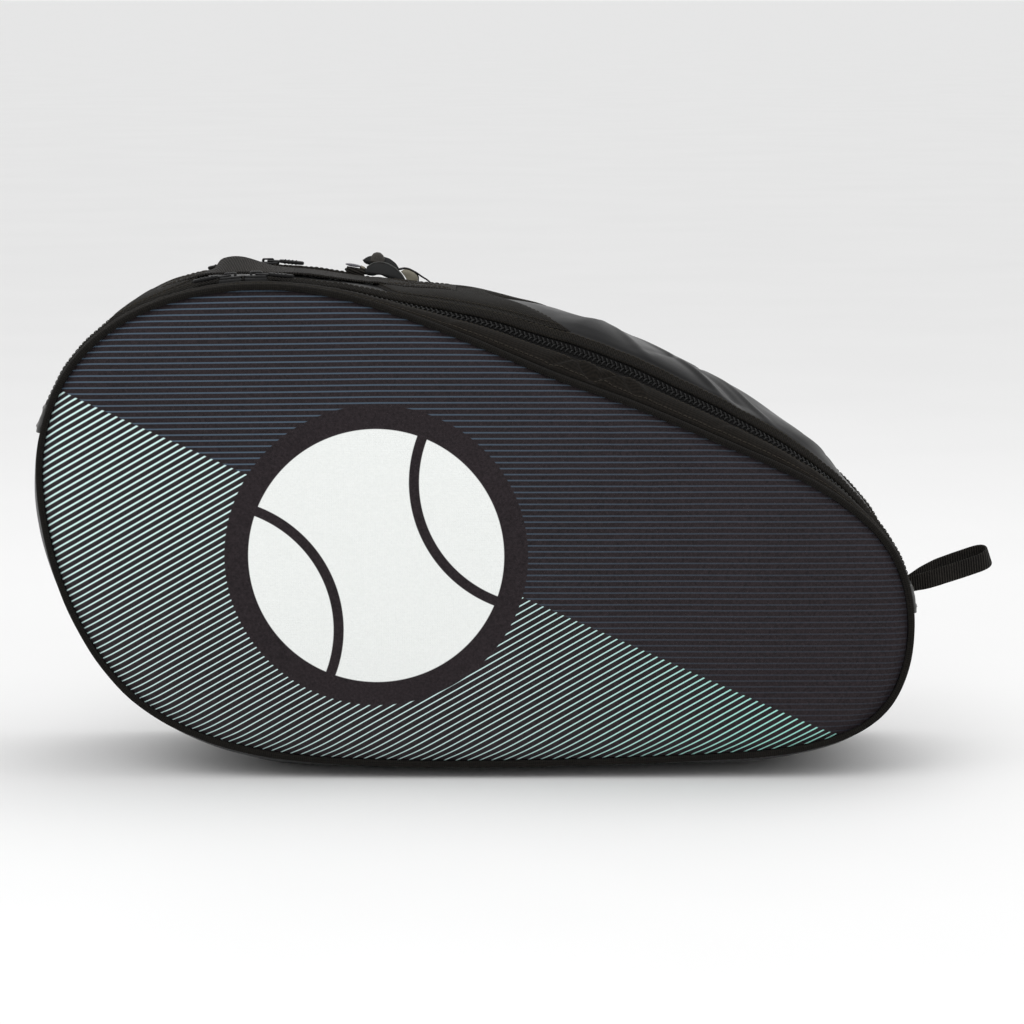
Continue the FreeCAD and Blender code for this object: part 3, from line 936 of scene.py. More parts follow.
def hem(name, side):
    """The folded twill edge that stands over the zip, with its top stitching."""
    def lipped(share, depth, lift):
        away = np.clip((np.abs(depth) - 47.0) / 4.5, 0, 1)
        return depth, lift + 1.5 * np.sin(np.pi * away ** 0.7) + 0.12 * np.sin(share * PERIMETER / 3.3)

    section = side_section(side, HEM_BAND, 1.3, -1.2, 9)
    piece = sweep(f"{name}_hem", shares_between(ZIP_START, ZIP_END, 1.5), section, "twill", lipped)
    belongs(piece, "twill", "shell", f"{name}_hem")
    line = band_line(ZIP_START + 0.006, ZIP_END - 0.006, side * HEM_SEAM, 1.5, lipped)
    sewn(f"{name}_hem_stitches", [line], "shell", "twill")


def wrinkled(share, depth, lift):
    """Slack and creases of the coated top, deepest down the slope to the right."""
    x = np.interp(share, TOP_SHARES, TOP_X)
    inward = np.clip((46.6 - np.abs(depth)) / 14, 0, 1)
    moved = 0.8 * np.sin(x / 23.0 + depth / 19.0) + 0.5 * np.sin(x / 11.0 - depth / 14.0 + 0.7)
    for centre, slant, wide, deep in (
        (128, 0.9, 4.5, 1.9), (146, 0.7, 5.0, -1.6), (163, 0.8, 4.0, 1.5), (205, -0.5, 6.0, 1.3),
        (86, 0.6, 5.0, 1.0), (104, -0.8, 4.0, -0.9), (-20, 0.3, 6.0, 0.7), (234, 0.6, 5.0, -1.1),
        (58, -0.4, 5, 0.9),
    ):
        reach = np.exp(-(((depth + 18) / 30) ** 2)) if slant > 0 else np.exp(-(((depth - 6) / 34) ** 2))
        moved = moved + deep * bump(x + slant * (depth + 20), centre, wide) * reach
    calm = 1 - 0.9 * bump(x, -120, 110)
    rim = 0.5 * bump(np.abs(depth), 43.4, 1.6)
    return depth, lift + inward * moved * calm - rim


def centre():
    """The coated strip over the top, its lining and the creases where it goes slack."""
    section = full_section(CENTRE_HALF, 0.8, -0.9, 64)
    piece = sweep("centre_strip", shares_between(ZIP_START, ZIP_END), section, "centre", wrinkled)
    belongs(piece, "coated_fabric", "shell", "centre_strip")
    section = full_section(CENTRE_LINING_HALF, -2.4, -3.3, 30)
    inner = sweep("centre_lining", shares_between(ZIP_START, ZIP_END, 5), section, "lining")
    belongs(inner, "lining", "shell", "centre_lining")


def settled(share, depth, lift):
    """The base's soft bulges, dying out at its edges and where it rests."""
    x = share * PERIMETER
    soft = np.clip((74.4 - np.abs(depth)) / 12, 0, 1)
    waves = 0.5 * np.sin(x / 29 + depth / 37) + 0.35 * np.sin(x / 13.0 - depth / 21)
    seam_roll = 0.9 * bump(np.abs(depth), 67, 4.5)
    return depth, lift + soft * waves + seam_roll


def base():
    """The coated cloth round the ends and under the bag, over its foam."""
    start, end = ZIP_END, 1 + ZIP_START
    section = full_section(BASE_HALF, 0.7, -1.0, 72)
    piece = sweep("base_gusset", shares_between(start, end, 2.5), section, "base", settled)
    belongs(piece, "coated_base", "shell", "base_gusset", "base_foam")
    section = full_section(BASE_LINING_HALF, -4.2, -5.0, 40)
    inner = sweep("base_lining", shares_between(start, end, 4), section, "lining")
    belongs(inner, "lining", "shell", "base_lining")
    lines = [band_line(start + 0.003, end - 0.003, side * BASE_SEAM, 0.95, settled) for side in (-1, 1)]
    sewn("base_stitches", lines, "shell", "coated_base")


def divider():
    """The padded wall between the two compartments."""
    columns = DIVIDER_COLUMNS
    share = np.arange(columns) / columns
    place, out = edge(share)
    rim = place + out * (at_share(SWELL, share).real[:, None] - 6.6)
    rim[:, 1] = np.maximum(rim[:, 1], 5.6)
    middle = (rim.min(0) + rim.max(0)) / 2
    insets = np.array([0, 1, 2.4, 5, 9, 16, 28, 45, 65, 85]) / 100
    flat = middle + (rim[None] - middle) * (1 - insets[:, None, None])
    flat = np.concatenate([flat.reshape(-1, 2), middle[None]])
    inside = np.array([np.sqrt(((rim - p) ** 2).sum(1).min()) for p in flat])
    rows = len(insets)
    tip = rows * columns
    last = tip - columns
    one = grid_faces(rows, columns, wrap_columns=True)
    one += [(last + i, last + (i + 1) % columns, tip) for i in range(columns)]
    half = 0.5 + 1.1 * (1 - np.exp(-inside / 5))
    front = np.stack([flat[:, 0], -half, flat[:, 1]], -1)
    rear = np.stack([flat[:, 0], half, flat[:, 1]], -1)
    count = len(flat)
    faces = flipped(one) + [tuple(count + i for i in face) for face in one]
    faces += [(i, (i + 1) % columns, count + (i + 1) % columns, count + i) for i in range(columns)]
    points, cloth_map = np.concatenate([front, rear]), np.concatenate([flat, flat])
    piece = make_piece("divider", points, faces, cloth_map, "lining")
    belongs(piece, "lining", "shell", "divider")


def end_tabs():
    """Folded tabs over the zip ends, with two rows of stitches and puckers."""
    for name, middle in (("end_tab_left", ZIP_START), ("end_tab_right", ZIP_END)):
        def puckered(share, depth, lift):
            away = (share - middle) * PERIMETER
            ripple = 0.35 * np.sin(depth / 3.1 + away / 2.3) * bump(away, 0, 5)
            fold = 0.5 * bump(np.abs(away), 5.2, 1.6) + ripple
            round_off = -1.2 * np.clip((np.abs(depth) - 52) / 4, 0, 1) ** 2
            return depth, lift + fold + round_off

        section = full_section(TAB_HALF, 3.3, 1.6, 60)
        shares = shares_between(middle - TAB_REACH / PERIMETER, middle + TAB_REACH / PERIMETER, 0.9)
        piece = sweep(name, shares, section, "tab", puckered)
        belongs(piece, "coated_fabric", "shell", name)
        lines = []
        for away in TAB_SEAMS:
            depth = np.linspace(-52, 52, 60)
            share = np.full(60, middle + away / PERIMETER)
            depths, lifts = puckered(share, depth, 3.35)
            lines.append((skin(share, depths, lifts), outward(share)))
        sewn(f"{name}_stitches", lines, "shell", "coated_fabric", up=(0.5, 0.2, 0.8))


# ---- handle ----
HANDLE_LOW, HANDLE_HIGH = box_mm("handle_webbing")
HANDLE_HALF = (HANDLE_HIGH[1] - HANDLE_LOW[1]) / 2
PATCH_LEFT = box_mm("handle_patch_left")
PATCH_RIGHT = box_mm("handle_patch_right")
TAIL_LEFT = box_mm("handle_end_left")
TAIL_RIGHT = box_mm("handle_end_right")
PATCH_HALF = PATCH_LEFT[1][1]


def patch_grid(name, low_x, high_x, pressed, outer, inner=None):
    """Padded twill sewn flat on the coated top. outer and inner give its half widths at each x."""
    xs = np.linspace(low_x, high_x, 90)
    points, faces, uv, start = [], [], [], 0
    sides = (-1, 1)
    for side in sides:
        across = np.linspace(0, 1, 18)
        x = xs[:, None] + 0 * across
        wide = outer(xs)[:, None]
        narrow = inner(xs)[:, None] if inner is not None else 0 * wide
        depth = side * (narrow + (wide - narrow) * across)
        share = top_share(x)
        edge_in = np.minimum(wide - np.abs(depth), np.minimum(x - low_x, high_x - x) * 0.9)
        if inner is not None:
            edge_in = np.where(narrow > 0, np.minimum(edge_in, np.abs(depth) - narrow), edge_in)
        puff = 3.0 * (1 - np.exp(-np.clip(edge_in, 0, None) / 4.0))
        under = np.clip((x - pressed[0]) / 5, 0, 1) * np.clip((pressed[1] - x) / 5, 0, 1)
        puff = puff * (1 - 0.55 * under * np.clip((HANDLE_HALF + 3 - np.abs(depth)) / 4, 0, 1))
        puff = puff + 0.25 * np.sin(x / 7.0) * np.sin(depth / 6.0) * np.clip(edge_in / 5, 0, 1)
        top = skin(share, depth, 1.25 + puff)
        bottom = skin(share, depth, 0.95)
        rows, columns = top.shape[:2]
        count = rows * columns
        face = grid_faces(rows, columns, start=start)
        under = [tuple(i + count for i in f[::-1]) for f in face]
        rim = [i * columns for i in range(rows)] + [(rows - 1) * columns + j for j in range(1, columns)]
        rim += [i * columns + columns - 1 for i in range(rows - 2, -1, -1)] + list(range(columns - 2, 0, -1))
        rim = [start + i for i in rim]
        wall = [(rim[i], rim[i - 1], rim[i - 1] + count, rim[i] + count) for i in range(len(rim))]
        block = face + under + wall
        if side < 0:
            block = flipped(block)
        faces += block
        points += [top.reshape(-1, 3), bottom.reshape(-1, 3)]
        uv += [np.stack([x, depth], -1).reshape(-1, 2)] * 2
        start += 2 * count
    piece = make_piece(name, np.concatenate(points), faces, np.concatenate(uv), "twill")
    belongs(piece, "twill", "shell", name)


def patch_stitches(name, xs, depth_at, lift=3.0):
    lines = []
    for side in (-1, 1):
        share = top_share(xs)
        lines.append((skin(share, side * depth_at(xs), lift), outward(share)))
    sewn(name, lines, "shell", "twill", up=(0.0, 1.0, 0.15))


def patches():
    low, high = PATCH_LEFT[0][0], PATCH_LEFT[1][0]

    def left_wide(x):
        share = np.clip((x - low) / (high - low), 0, 1)
        narrowing = 1 - 0.62 * np.clip((share - 0.45) / 0.55, 0, 1) ** 1.6
        return PATCH_HALF * np.clip(share * 5, 0.02, 1) ** 0.5 * narrowing

    patch_grid("handle_patch_left", low, high, (TAIL_LEFT[0][0] - 3, high + 20), left_wide)
    xs = np.linspace(low + 3, high - 3, 60)
    patch_stitches("patch_left_stitches", xs, lambda x: left_wide(x) - 3.0)

    right_low, right_high = PATCH_RIGHT[0][0], PATCH_RIGHT[1][0]

    def right_wide(x):
        share = np.clip((x - right_low) / (right_high - right_low), 0, 1)
        return PATCH_HALF * np.clip(share * 7, 0.02, 1) ** 0.5

    def right_inner(x):
        return np.clip((x + 4) * 0.8125, 0, PATCH_HALF - 0.6)

    pressed = (right_low - 20, TAIL_RIGHT[1][0] + 3)
    patch_grid("handle_patch_right", right_low, right_high, pressed, right_wide, right_inner)
    xs = np.linspace(right_low + 3, right_high - 8, 90)
    patch_stitches("patch_right_stitches", xs, lambda x: right_wide(x) - 2.6)
    xs = np.linspace(4, right_high - 12, 50)
    patch_stitches("patch_right_inner_stitches", xs, lambda x: right_inner(x) + 2.4, 2.7)


def strap_frame(x):
    """Height and twist of the webbing at x: sewn flat at both ends, bowed and tipped forward between them."""
    left, right = HANDLE_LOW[0], HANDLE_HIGH[0]
    share = top_share(x)
    sewn_height = skin(share, 0.0, STRAP_LIFT)[:, 2]
    surface = skin(share, 0.0, 0.9)[:, 2]
    rise = bump(x, left + 14, 20)
    into = np.clip((x - left) / 8.0, 0, 1) * np.clip((right - x) / 8.0, 0, 1)
    into = into * into * (3 - 2 * into)
    height = sewn_height * (1 - into) + (surface + 2.2 + 3.4 * rise) * into
    return height, np.radians(12) * rise * into


def strap_half(name, low_x, high_x, replaced):
    xs = np.linspace(low_x, high_x, max(30, int((high_x - low_x) / 1.5)))
    height, twist = strap_frame(xs)
    slope = np.gradient(height, xs)
    normal = unit_rows(np.stack([-slope, 0 * xs, np.ones(len(xs))], -1))
    section = full_section(HANDLE_HALF, 0.85, -0.85, 20)
    run = np.concatenate([[0], np.cumsum(np.hypot(np.diff(xs), np.diff(height)))])
    points = []
    for i, x in enumerate(xs):
        free = abs(twist[i]) > 0 or HANDLE_LOW[0] < x < HANDLE_HIGH[0]
        share = top_share(x)
        sag = 0.0 if free else 1.0
        depth, lift = section[:, 0], section[:, 1]
        settle = skin(share, depth, STRAP_LIFT)[:, 2]
        settle = (settle - settle[len(depth) // 4]) * sag
        y = depth * math.cos(twist[i]) - lift * math.sin(twist[i])
        up = lift * math.cos(twist[i]) + depth * math.sin(twist[i]) - 0.0006 * depth ** 2 * (1 - sag)
        base_point = np.array([x, 0, height[i]])
        points.append(base_point + normal[i] * up[:, None] + np.stack([0 * y, y, settle], -1))
    points = np.array(points)
    uv = tube_map(run, run_along(section))
    faces = flipped(capped(*points.shape[:2]))
    piece = make_piece(name, points, faces, uv, "webbing")
    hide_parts(*replaced)
    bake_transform(piece)


def box_stitch(name, low_x, high_x, half):
    """The crossed square of thread that holds webbing down."""
    def on_tail(x, y):
        x, y = np.asarray(x, float), np.asarray(y, float)
        height = strap_frame(x)[0]
        share = top_share(x)
        drop = (skin(share, y, STRAP_LIFT) - skin(share, 0 * y, STRAP_LIFT))[:, 2]
        return np.stack([x, y, height + drop + 1.0], -1), outward(share)

    walk = np.linspace(0, 1, 30)
    corners = [(low_x, -half), (high_x, -half), (high_x, half), (low_x, half)]
    pairs = list(zip(corners, corners[1:] + corners[:1]))
    pairs += [(corners[0], corners[2]), (corners[1], corners[3])]
    lines = [on_tail(a[0] + (b[0] - a[0]) * walk, a[1] + (b[1] - a[1]) * walk) for a, b in pairs]
    sewn(name, lines, "shell", "webbing", up=(0.13, 0.21, 1), radius=0.3)


def handle():
    left, right = HANDLE_LOW[0], HANDLE_HIGH[0]
    middle = (left + right) / 2
    left_nodes = ("handle_end_left", "handle_webbing")
    strap_half("handle_strap_left", TAIL_LEFT[0][0], middle, left_nodes)
    strap_half("handle_strap_right", middle, TAIL_RIGHT[1][0], ("handle_end_right",))
    box_stitch("handle_box_left", TAIL_LEFT[0][0] + 3.5, left - 4, 15.5)
    box_stitch("handle_box_right", right + 6, TAIL_RIGHT[1][0] - 3.5, 15.5)


# ---- grab loop ----
def ribbon(name, line, section, place_at, material):
    """Webbing that follows a flat line. place_at puts (line x, line y, across) on the bag."""
    heading = unit_rows(np.gradient(line, axis=0))
    side = np.stack([-heading[:, 1], heading[:, 0]], -1)
    points = np.array([
        [place_at(*(line[i] + side[i] * lift), depth) for depth, lift in section] for i in range(len(line))
    ])
    uv = tube_map(run_along(line), run_along(section))
    return make_piece(name, points, capped(*points.shape[:2]), uv, material)


def eased(points, count, passes):
    """An evenly spaced, rounded line through a few points."""
    points = np.asarray(points, float)
    for _ in range(2):
        run = run_along(points)
        even = np.linspace(0, run[-1], count)
        points = np.stack([np.interp(even, run, points[:, i]) for i in range(points.shape[1])], -1)
        for _ in range(passes):
            points[1:-1] = (points[:-2] + 2 * points[1:-1] + points[2:]) / 4
    return points


def grab_loop():
    """Narrow webbing doubled back on itself, standing on its edge and rolled a little towards the front."""
    root = joint_place("grab_loop_bend")
    high = box_mm("grab_loop")[1]
    tilt = math.radians(LOOP_TILT_DEG)
    along = np.array([math.cos(tilt), 0, math.sin(tilt)])
    up = np.array([-math.sin(tilt), 0, math.cos(tilt)])
    wide = high[1] - 0.8
    reach = (np.array([high[0], 0, high[2]]) - root) @ along - 3.2
    half = [(-7, 0.8), (0, 1.6), (8, 4.6), (18, wide - 0.6), (30, wide), (reach - wide * 1.1, wide)]
    half += [(reach - wide * 0.35, wide * 0.8), (reach, 0)]
    line = eased([(a, -b) for a, b in half] + [(a, b) for a, b in half[-2::-1]], 130, 5)

    def place_at(a, b, across):
        lift = across * (1 - 0.12 * bump(a, -3, 8)) + 0.28 * b + 1.2 * min(1, max(0, a / 20))
        return root + a * along + lift * up + np.array([0, b - 0.10 * across, 0])

    piece = ribbon("grab_loop", line, full_section(LOOP_HALF, 0.72, -0.72, 10), place_at, "webbing")
    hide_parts("grab_loop")
    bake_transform(piece)


# ---- moulded and metal pieces ----
def oval(cx, cy, rx, ry):
    turn = around(OVAL_POINTS)
    return np.stack([cx + rx * np.cos(turn), cy + ry * np.sin(turn)], -1)


def rounded(cx, cy, width, height, radius):
    """A rectangle with round corners, anticlockwise."""
    points = []
    for sx, sy, first in ((1, 1, 0), (-1, 1, 90), (-1, -1, 180), (1, -1, 270)):
        for i in range(CORNER_STEPS + 1):
            a = math.radians(first + 90 * i / CORNER_STEPS)
            points.append((cx + sx * (width / 2 - radius) + radius * math.cos(a),
                           cy + sy * (height / 2 - radius) + radius * math.sin(a)))
    return np.array(points)


def cast(name, outlines, thickness, bevel, frame_matrix, material):
    """A flat moulding with holes and rounded edges, drawn in XY, thick along Z, then put in place."""
    curve = bpy.data.curves.new(name, "CURVE")
    curve.dimensions = "2D"
    curve.fill_mode = "BOTH"
    for outline in outlines:
        spline = curve.splines.new("POLY")
        spline.points.add(len(outline) - 1)
        spline.points.foreach_set("co", np.array([(x * MM, y * MM, 0, 1) for x, y in outline]).ravel())
        spline.use_cyclic_u = True
    curve.extrude = (thickness / 2 - bevel) * MM
    curve.bevel_depth = bevel * MM
    curve.bevel_resolution = 2
    curve.offset = -bevel * MM
    holder = show(bpy.data.objects.new(name + "_drawing", curve))
    graph = bpy.context.evaluated_depsgraph_get()
    mesh = bpy.data.meshes.new_from_object(holder.evaluated_get(graph))
    bpy.data.objects.remove(holder)
    mesh.transform(frame_matrix)
    mesh.materials.clear()
    mesh.materials.append(MATERIALS[material])
    mesh.polygons.foreach_set("use_smooth", np.ones(len(mesh.polygons), bool))
    piece = show(bpy.data.objects.new(name, mesh))
    sharp = piece.modifiers.new("weld", "WELD")
    sharp.merge_threshold = 0.01 * MM
    return piece


def local_frame(origin, along, off):
    """A matrix at a place on the bag, with X along the cloth and Z off it."""
    x = Vector(along).normalized()
    z = Vector(off).normalized()
    y = z.cross(x)
    matrix = Matrix((x, y, z)).transposed().to_4x4()
    matrix.translation = Vector(origin) * MM
    return matrix


def shift(x, y, z):
    return Matrix.Translation(Vector((x, y, z)) * MM)


STAND = Matrix.Rotation(math.radians(90), 4, "X")


def join(name, pieces):
    """One piece from several meshes, keeping their materials."""
    mesh = bpy.data.meshes.new(name)
    points, faces, slots, materials = [], [], [], []
    graph = bpy.context.evaluated_depsgraph_get()
    for piece in pieces:
        solid = piece.evaluated_get(graph).to_mesh()
        start = len(points)
        points += [tuple(v.co) for v in solid.vertices]
        material = piece.data.materials[0]
        if material not in materials:
            materials.append(material)
        for polygon in solid.polygons:
            faces.append(tuple(start + i for i in polygon.vertices))
            slots.append(materials.index(material))
        bpy.data.objects.remove(piece)
    mesh.from_pydata(points, [], faces)
    for material in materials:
        mesh.materials.append(material)
    mesh.polygons.foreach_set("material_index", slots)
    mesh.polygons.foreach_set("use_smooth", np.ones(len(faces), bool))
    mesh.update()
    return show(bpy.data.objects.new(name, mesh))


def in_frame(matrix, points):
    """Where points drawn in a local frame lie on the bag."""
    return np.array([tuple((matrix @ (Vector(p) * MM)) / MM) for p in points])


def rod(name, at, points, radius, material, sides=14, taper=None):
    """A round rod with domed ends along points drawn in a local frame."""
    path = in_frame(at, points)
    run = np.linspace(0, 1, len(path))
    size = np.full(len(path), radius) if taper is None else radius * taper(run)
    heading = path[1] - path[0]
    upright_start = abs(heading[1]) < 0.9 * np.linalg.norm(heading)
    up = np.array([0.05, 1.0, 0.02]) if upright_start else np.array([1.0, 0.05, 0.02])
    along, side, over = path_frames(path, up)
    turn = around(sides)

    def dome(i, way, steps):
        reach = way * along[i] * size[i]
        return [
            (path[i] + reach * (step - 0.3), side[i], over[i], size[i] * math.sqrt(1 - step ** 2))
            for step in steps
        ]

    rings = dome(0, -1, (0.98, 0.8, 0.45))
    rings += [(path[i], side[i], over[i], size[i]) for i in range(len(path))]
    rings += dome(-1, 1, (0.45, 0.8, 0.98))
    points = [place + (s * np.cos(turn)[:, None] + o * np.sin(turn)[:, None]) * r for place, s, o, r in rings]
    return make_piece(name, np.array(points), tube_faces(len(points), sides), material=material)


def upright(name, outlines, thickness, bevel, at, material, away=0.0):
    """A moulding whose outline stands in the plane along the cloth, set back by a distance in depth."""
    return cast(name, outlines, thickness, bevel, at @ shift(0, away, 0) @ STAND, material)


def hook_body(at):
    """The winged body, with a pale rod along its upper edge that is a painted highlight, its neck, pin,
    barrel and nub; the barrel's pale lilac grey is a painted reflection.
    """
    shell_line = eased([
        (3.0, 0.6), (4.6, 4.2), (7.6, 7.2), (12, 8.8), (17.1, 8.6), (22.9, 6.4), (27.4, 3.2), (30.0, 0.2),
        (30.0, -0.9), (28.5, -1.3), (24, -1.3), (20, -1.2), (17.2, -0.9), (14.4, 0.2), (11.4, -0.2),
        (9.4, -1.4), (5.6, -1.5), (3.6, -1.0), (3.0, 0.6),
    ], 90, 1)[:-1]
    wing_top = [(0.6, 7.6), (3.7, 10.4), (7, 11.6), (12.6, 12.2), (18, 11.4), (22.4, 9.0), (25.4, 5.6)]
    wing_low = [(23.6, 3.4), (19.5, 5.6), (15, 6.6), (10, 6.4), (6.2, 5.0), (2.4, 5.6)]
    wing = eased(wing_top + wing_low + wing_top[:1], 80, 1)[:-1]
    parts = [upright("body", [shell_line[::-1]], 3.0, 0.8, at, "hook")]
    parts.append(upright("wing", [wing[::-1]], 1.3, 0.35, at, "hook", 2.3))
    rim = eased([(4.4, 3.8), (7.4, 6.9), (12, 8.5), (17, 8.3), (22.8, 6.1), (27.2, 3.0), (29.6, 0.2)], 50, 2)
    # The pale rod along the upper edge is a painted highlight.
    parts.append(rod("rim", at, [(x, -1.5, z) for x, z in rim], 0.42, "rim", sides=8))
    parts.append(rod("neck", at, [(3.5, 0, 0), (5, 0, 0.3), (7, 0, 1.2)], 1.5, "hook"))
    parts.append(rod("pin", at, [(-9.0, 0, 0), (-2, 0, 0), (4.5, 0, 0)], 1.1, "arm"))
    # The barrel's pale lilac grey colour is a painted reflection.
    parts.append(upright("barrel", [oval(-4.6, 3.5, 5.2, 0.95)], 4.4, 0.5, at, "lens"))
    parts.append(rod("nub", at, [(0.2, 0, 3.2), (1.4, 0, 2.9), (2.8, 0, 2.4)], 1.0, "nub"))
    parts.append(rod("nub_stem", at, [(2.6, 0, 2.4), (3.6, 0, 2.0), (5.0, 0, 1.6)], 0.8, "hook"))
    body = join("hook_body", parts)
    belongs(body, "hook_plastic", "hook", "hook_body")


def hook_gate(at):
    """The sliding gate with its thumb dome and three grips."""
    dome = eased([
        (6.0, 7.6), (5.8, 11), (7.0, 13.2), (9.0, 14.3), (11.4, 14.3), (13.4, 13.0), (14.8, 11), (14.8, 7.6),
        (10.3, 7.3), (6.0, 7.6),
    ], 60, 0)[:-1]
    parts = [upright("dome", [dome[::-1]], 3.4, 0.6, at, "knob")]
    for i in range(3):
        parts.append(upright("grip", [rounded(8.6 + 1.7 * i, 11.6, 0.7, 3.2, 0.3)], 4.0, 0.2, at, "knob"))
    gate = join("hook_gate", parts)
    belongs(gate, "hook_knob", "hook_gate", "hook_gate")


def hook_arm(at):
    """The sprung arm with its plate and stay."""
    curve = eased([
        (24.8, 0, 5.6), (28.5, 0, 7.0), (31.6, 0, 6.9), (36.8, 0, 5.2), (40.4, 0, 3.4), (44, 0, 2.0),
        (47.9, 0, -0.4),
    ], 60, 2)
    plate_line = eased([
        (26.4, 4.6), (28.4, 6.2), (31.2, 6.4), (35.2, 5.2), (37.6, 3.4), (38.3, 1.2), (38.0, -0.6),
        (34.5, -1.1), (31.4, -0.6), (29.6, 1.6), (26.4, 4.6),
    ], 60, 1)[:-1]
    parts = [rod("arc", at, curve, 0.75, "arm", sides=10, taper=lambda t: 1.0 - 0.35 * t)]
    parts.append(upright("plate", [plate_line[::-1]], 1.3, 0.35, at, "plate"))
    rear = eased([(31.4, 0.7, 6.5), (35.4, 0.7, 5.3), (38.2, 0.7, 3.2), (38.7, 0.7, -0.4)], 30, 2)
    parts.append(rod("stay", at, rear, 0.4, "arm", sides=8))
    arm = join("hook_arm", parts)
    belongs(arm, "hook_arm_steel", "hook", "hook_arm")


def hook_tab(at):
    """Webbing folded over the hook's pin and sewn down to the patch."""
    turn = [(1.9 * math.cos(math.radians(a)), 1.9 * math.sin(math.radians(a))) for a in range(-50, 231, 20)]
    legs = [(1.3, -2.2), (1.6, -2.9), (3.6, -3.4), (7.5, -3.7)]
    line = eased([(x, z) for x, z in legs[::-1]] + turn + [(-x, z) for x, z in legs], 70, 2)

    def place_at(depth, height, across):
        return in_frame(at, [(across - 2.6, depth, height)])[0]

    piece = ribbon("hook_tab", line, full_section(HOOK_TAB_HALF, 0.4, -0.4, 8), place_at, "webbing")
    belongs(piece, "webbing", "shell", "hook_tab")


def hook():
    """A hanging clip on a webbing tab."""
    bar = joint_place("hook_swing")
    along = Vector(joint_axis("hook_swing"))
    off = Vector((-along.z, 0, along.x))
    at = local_frame(bar, along, off)
    hook_body(at)
    hook_gate(at)
    hook_arm(at)
    hook_tab(at)


def slider(name, side, end):
    """A zip slider with its nose, keel and bridge, and its pull."""
    toward = -1 if end == "left" else 1
    pin = joint_place(f"{name}_{end}_pull_turn")
    centre = joint_place(f"{name}_{end}_slider_travel")
    off = Vector(pin - np.array([centre[0], pin[1], centre[2]])).normalized()
    along = Vector((off.z, 0, -off.x)) * toward
    at = local_frame(pin, along, off) @ shift(0, 0, -PIN_LIFT)
    flap_way = 1 if toward * side > 0 else -1
    nose = np.array([(-7.4, -2.6), (-5.6, -4.1), (-1.0, -4.4), (4.5, -4.4), (6.6, -3.6), (7.4, -1.6),
                     (7.4, 1.6), (6.6, 3.6), (4.5, 4.4), (-1.0, 4.4), (-5.6, 4.1), (-7.4, 2.6)], float)
    top = cast("top", [nose], 1.7, 0.5, at @ shift(0, 0, 3.85), "slider")
    keel_at = at @ shift(0, flap_way * 3.6, 1.6)
    keel = cast("keel", [rounded(0, 0, 14.2, 2.6, 1.2)], 3.2, 0.3, keel_at, "slider")
    bridge = cast("bridge", [rounded(0, 0, 8.0, 3.0, 1.3), rounded(0, -0.35, 4.8, 1.5, 0.7)], 2.1, 0.35,
                  at @ shift(0, 0, 5.6) @ STAND, "slider")
    body = join(f"{name}_{end}_slider", [top, keel, bridge])
    belongs(body, "slider_metal", f"{name}_{end}_slider", f"{name}_{end}_slider")
    zip_pull(f"{name}_{end}_pull", at)


def zip_pull(name, at):
    """A rubber pull on a wire link, drooping a little from its slider."""
    droop = Matrix.Rotation(math.radians(PULL_DROOP_DEG), 4, "Y")
    at = at @ shift(0, 0, PIN_LIFT) @ droop @ shift(0, 0, -PIN_LIFT)
    wire = [(0, -2.6, 5.5), (0, 2.6, 5.5)]
    bar = rod("bar", at, [wire[0], (0, 0, 5.5), wire[1]], 0.5, "slider", sides=8)
    arms = [rod("arm", at, [(0, y, 5.5), (3.5, y, 5.55), (8.5, y * 0.9, 5.8)], 0.62, "slider", sides=8)
            for y in (-2.7, 2.7)]
    grip = cast("grip", [rounded(15.4, 0, 16.4, 7.8, 3.2)], 2.1, 0.7, at @ shift(0, 0, 5.9), "pull")
    ridges = []
    for i in range(4):
        outline = rounded(11.2 + 2.4 * i, 0, 1.0, 5.0, 0.45)
        ridges.append(cast("ridge", [outline], 2.9, 0.3, at @ shift(0, 0, 5.9), "pull"))
    pull = join(name, [bar, *arms, grip, *ridges])
    belongs(pull, "pull_rubber", name, name)


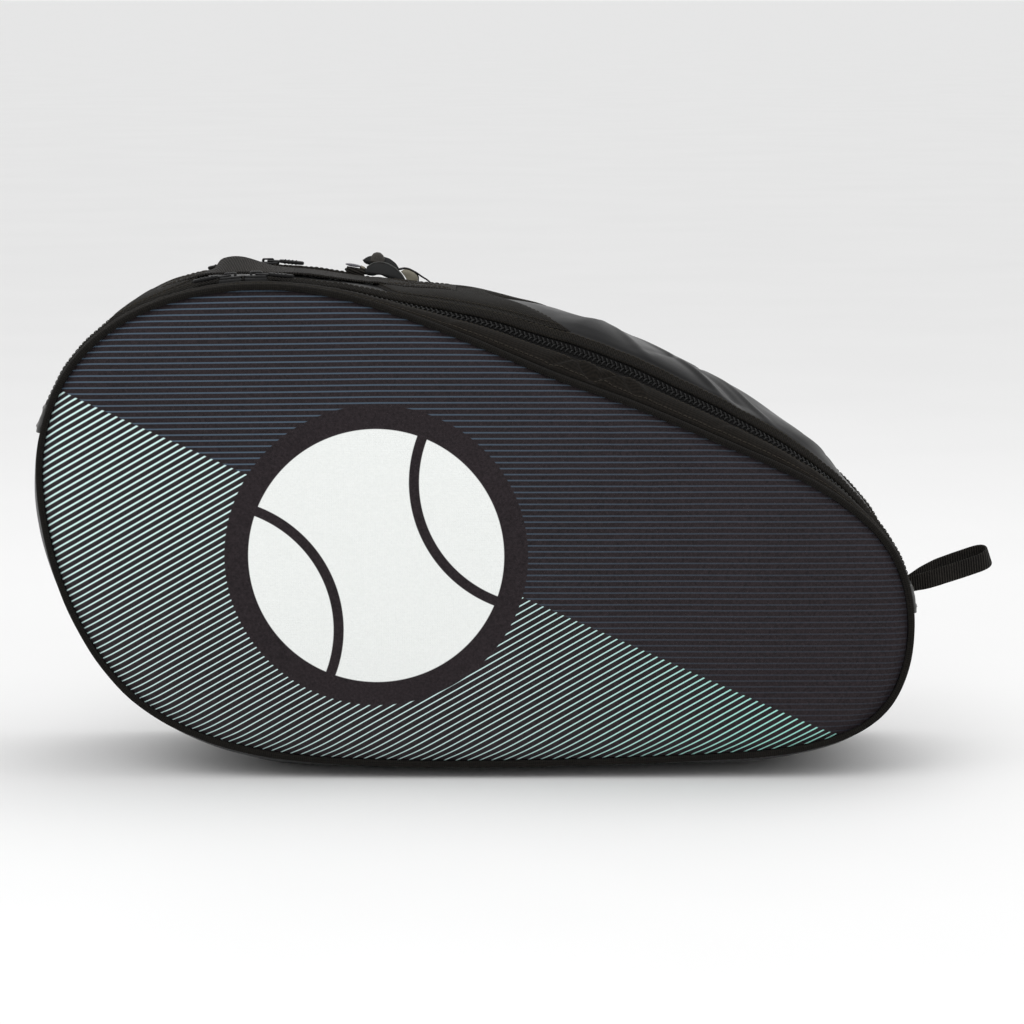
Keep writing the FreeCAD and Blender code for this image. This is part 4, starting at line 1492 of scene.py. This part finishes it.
for side_name, side_sign in FLAPS.items():
    panel(side_name, side_sign)
    panel_lining(side_name, side_sign)
    piping(side_name, side_sign)
    strip(side_name, side_sign)
    flange(side_name, side_sign)
    binding(side_name, side_sign)
    zip_side(side_name, side_sign, "outer", 59.8, 57.15, 64.6, 57.4, 0.0)
    zip_side(side_name, side_sign, "inner", 54.2, 56.85, 49.6, 56.6, 0.5)
    hem(side_name, side_sign)
    slider(side_name, side_sign, "left")
    slider(side_name, side_sign, "right")
centre()
base()
divider()
end_tabs()
patches()
handle()
grab_loop()
hook()


# ---- stage ----
FLOOR = 400000.0


def floor():
    corners = [(x * FLOOR, y * FLOOR, 0) for x, y in ((-1, -1), (1, -1), (1, 1), (-1, 1))]
    piece = make_piece("floor", corners, [(0, 1, 2, 3)])
    graph = Graph("pale_floor")
    speck = graph.noise(graph.place(), 3.0, 2.0)
    pale = graph.mix(speck, (0.80, 0.80, 0.80, 1), (0.84, 0.84, 0.84, 1))
    piece.data.materials.append(graph.finish(pale, 0.85, specular=0.2))


def studio():
    """White light from all round, and three square lamps."""
    world = bpy.data.worlds.new("studio")
    bpy.context.scene.world = world
    world.use_nodes = True
    world.node_tree.nodes["Background"].inputs[0].default_value = (1, 1, 1, 1)
    world.node_tree.nodes["Background"].inputs[1].default_value = WORLD_LIGHT
    for name, place, size, power in (
        ("key", (-900, -1500, 1700), 1400, 11),
        ("fill", (1300, -1300, 900), 1400, 2),
        ("top", (200, 300, 1900), 1300, 7),
    ):
        light = bpy.data.lights.new(name, "AREA")
        light.shape = "SQUARE"
        light.size = size * MM
        light.energy = power
        holder = bpy.data.objects.new(name, light)
        holder.location = Vector(place) * MM
        holder.rotation_mode = "QUATERNION"
        holder.rotation_quaternion = (Vector((0, 0, 0.15)) - holder.location).to_track_quat("-Z", "Y")
        show(holder)


def camera():
    """A long lens, almost level, square to the printed side."""
    target = Vector(CAMERA_TARGET) * MM
    rise = math.radians(CAMERA_RISE_DEG)
    data = bpy.data.cameras.new("camera")
    data.sensor_width = 36
    data.lens = CAMERA_LENS
    holder = bpy.data.objects.new("camera", data)
    holder.location = target + Vector((0, -math.cos(rise), math.sin(rise))) * (CAMERA_AWAY * MM)
    holder.rotation_mode = "QUATERNION"
    holder.rotation_quaternion = (target - holder.location).to_track_quat("-Z", "Y")
    bpy.context.scene.camera = show(holder)


floor()
studio()
camera()
bpy.context.scene.view_settings.view_transform = "Standard"
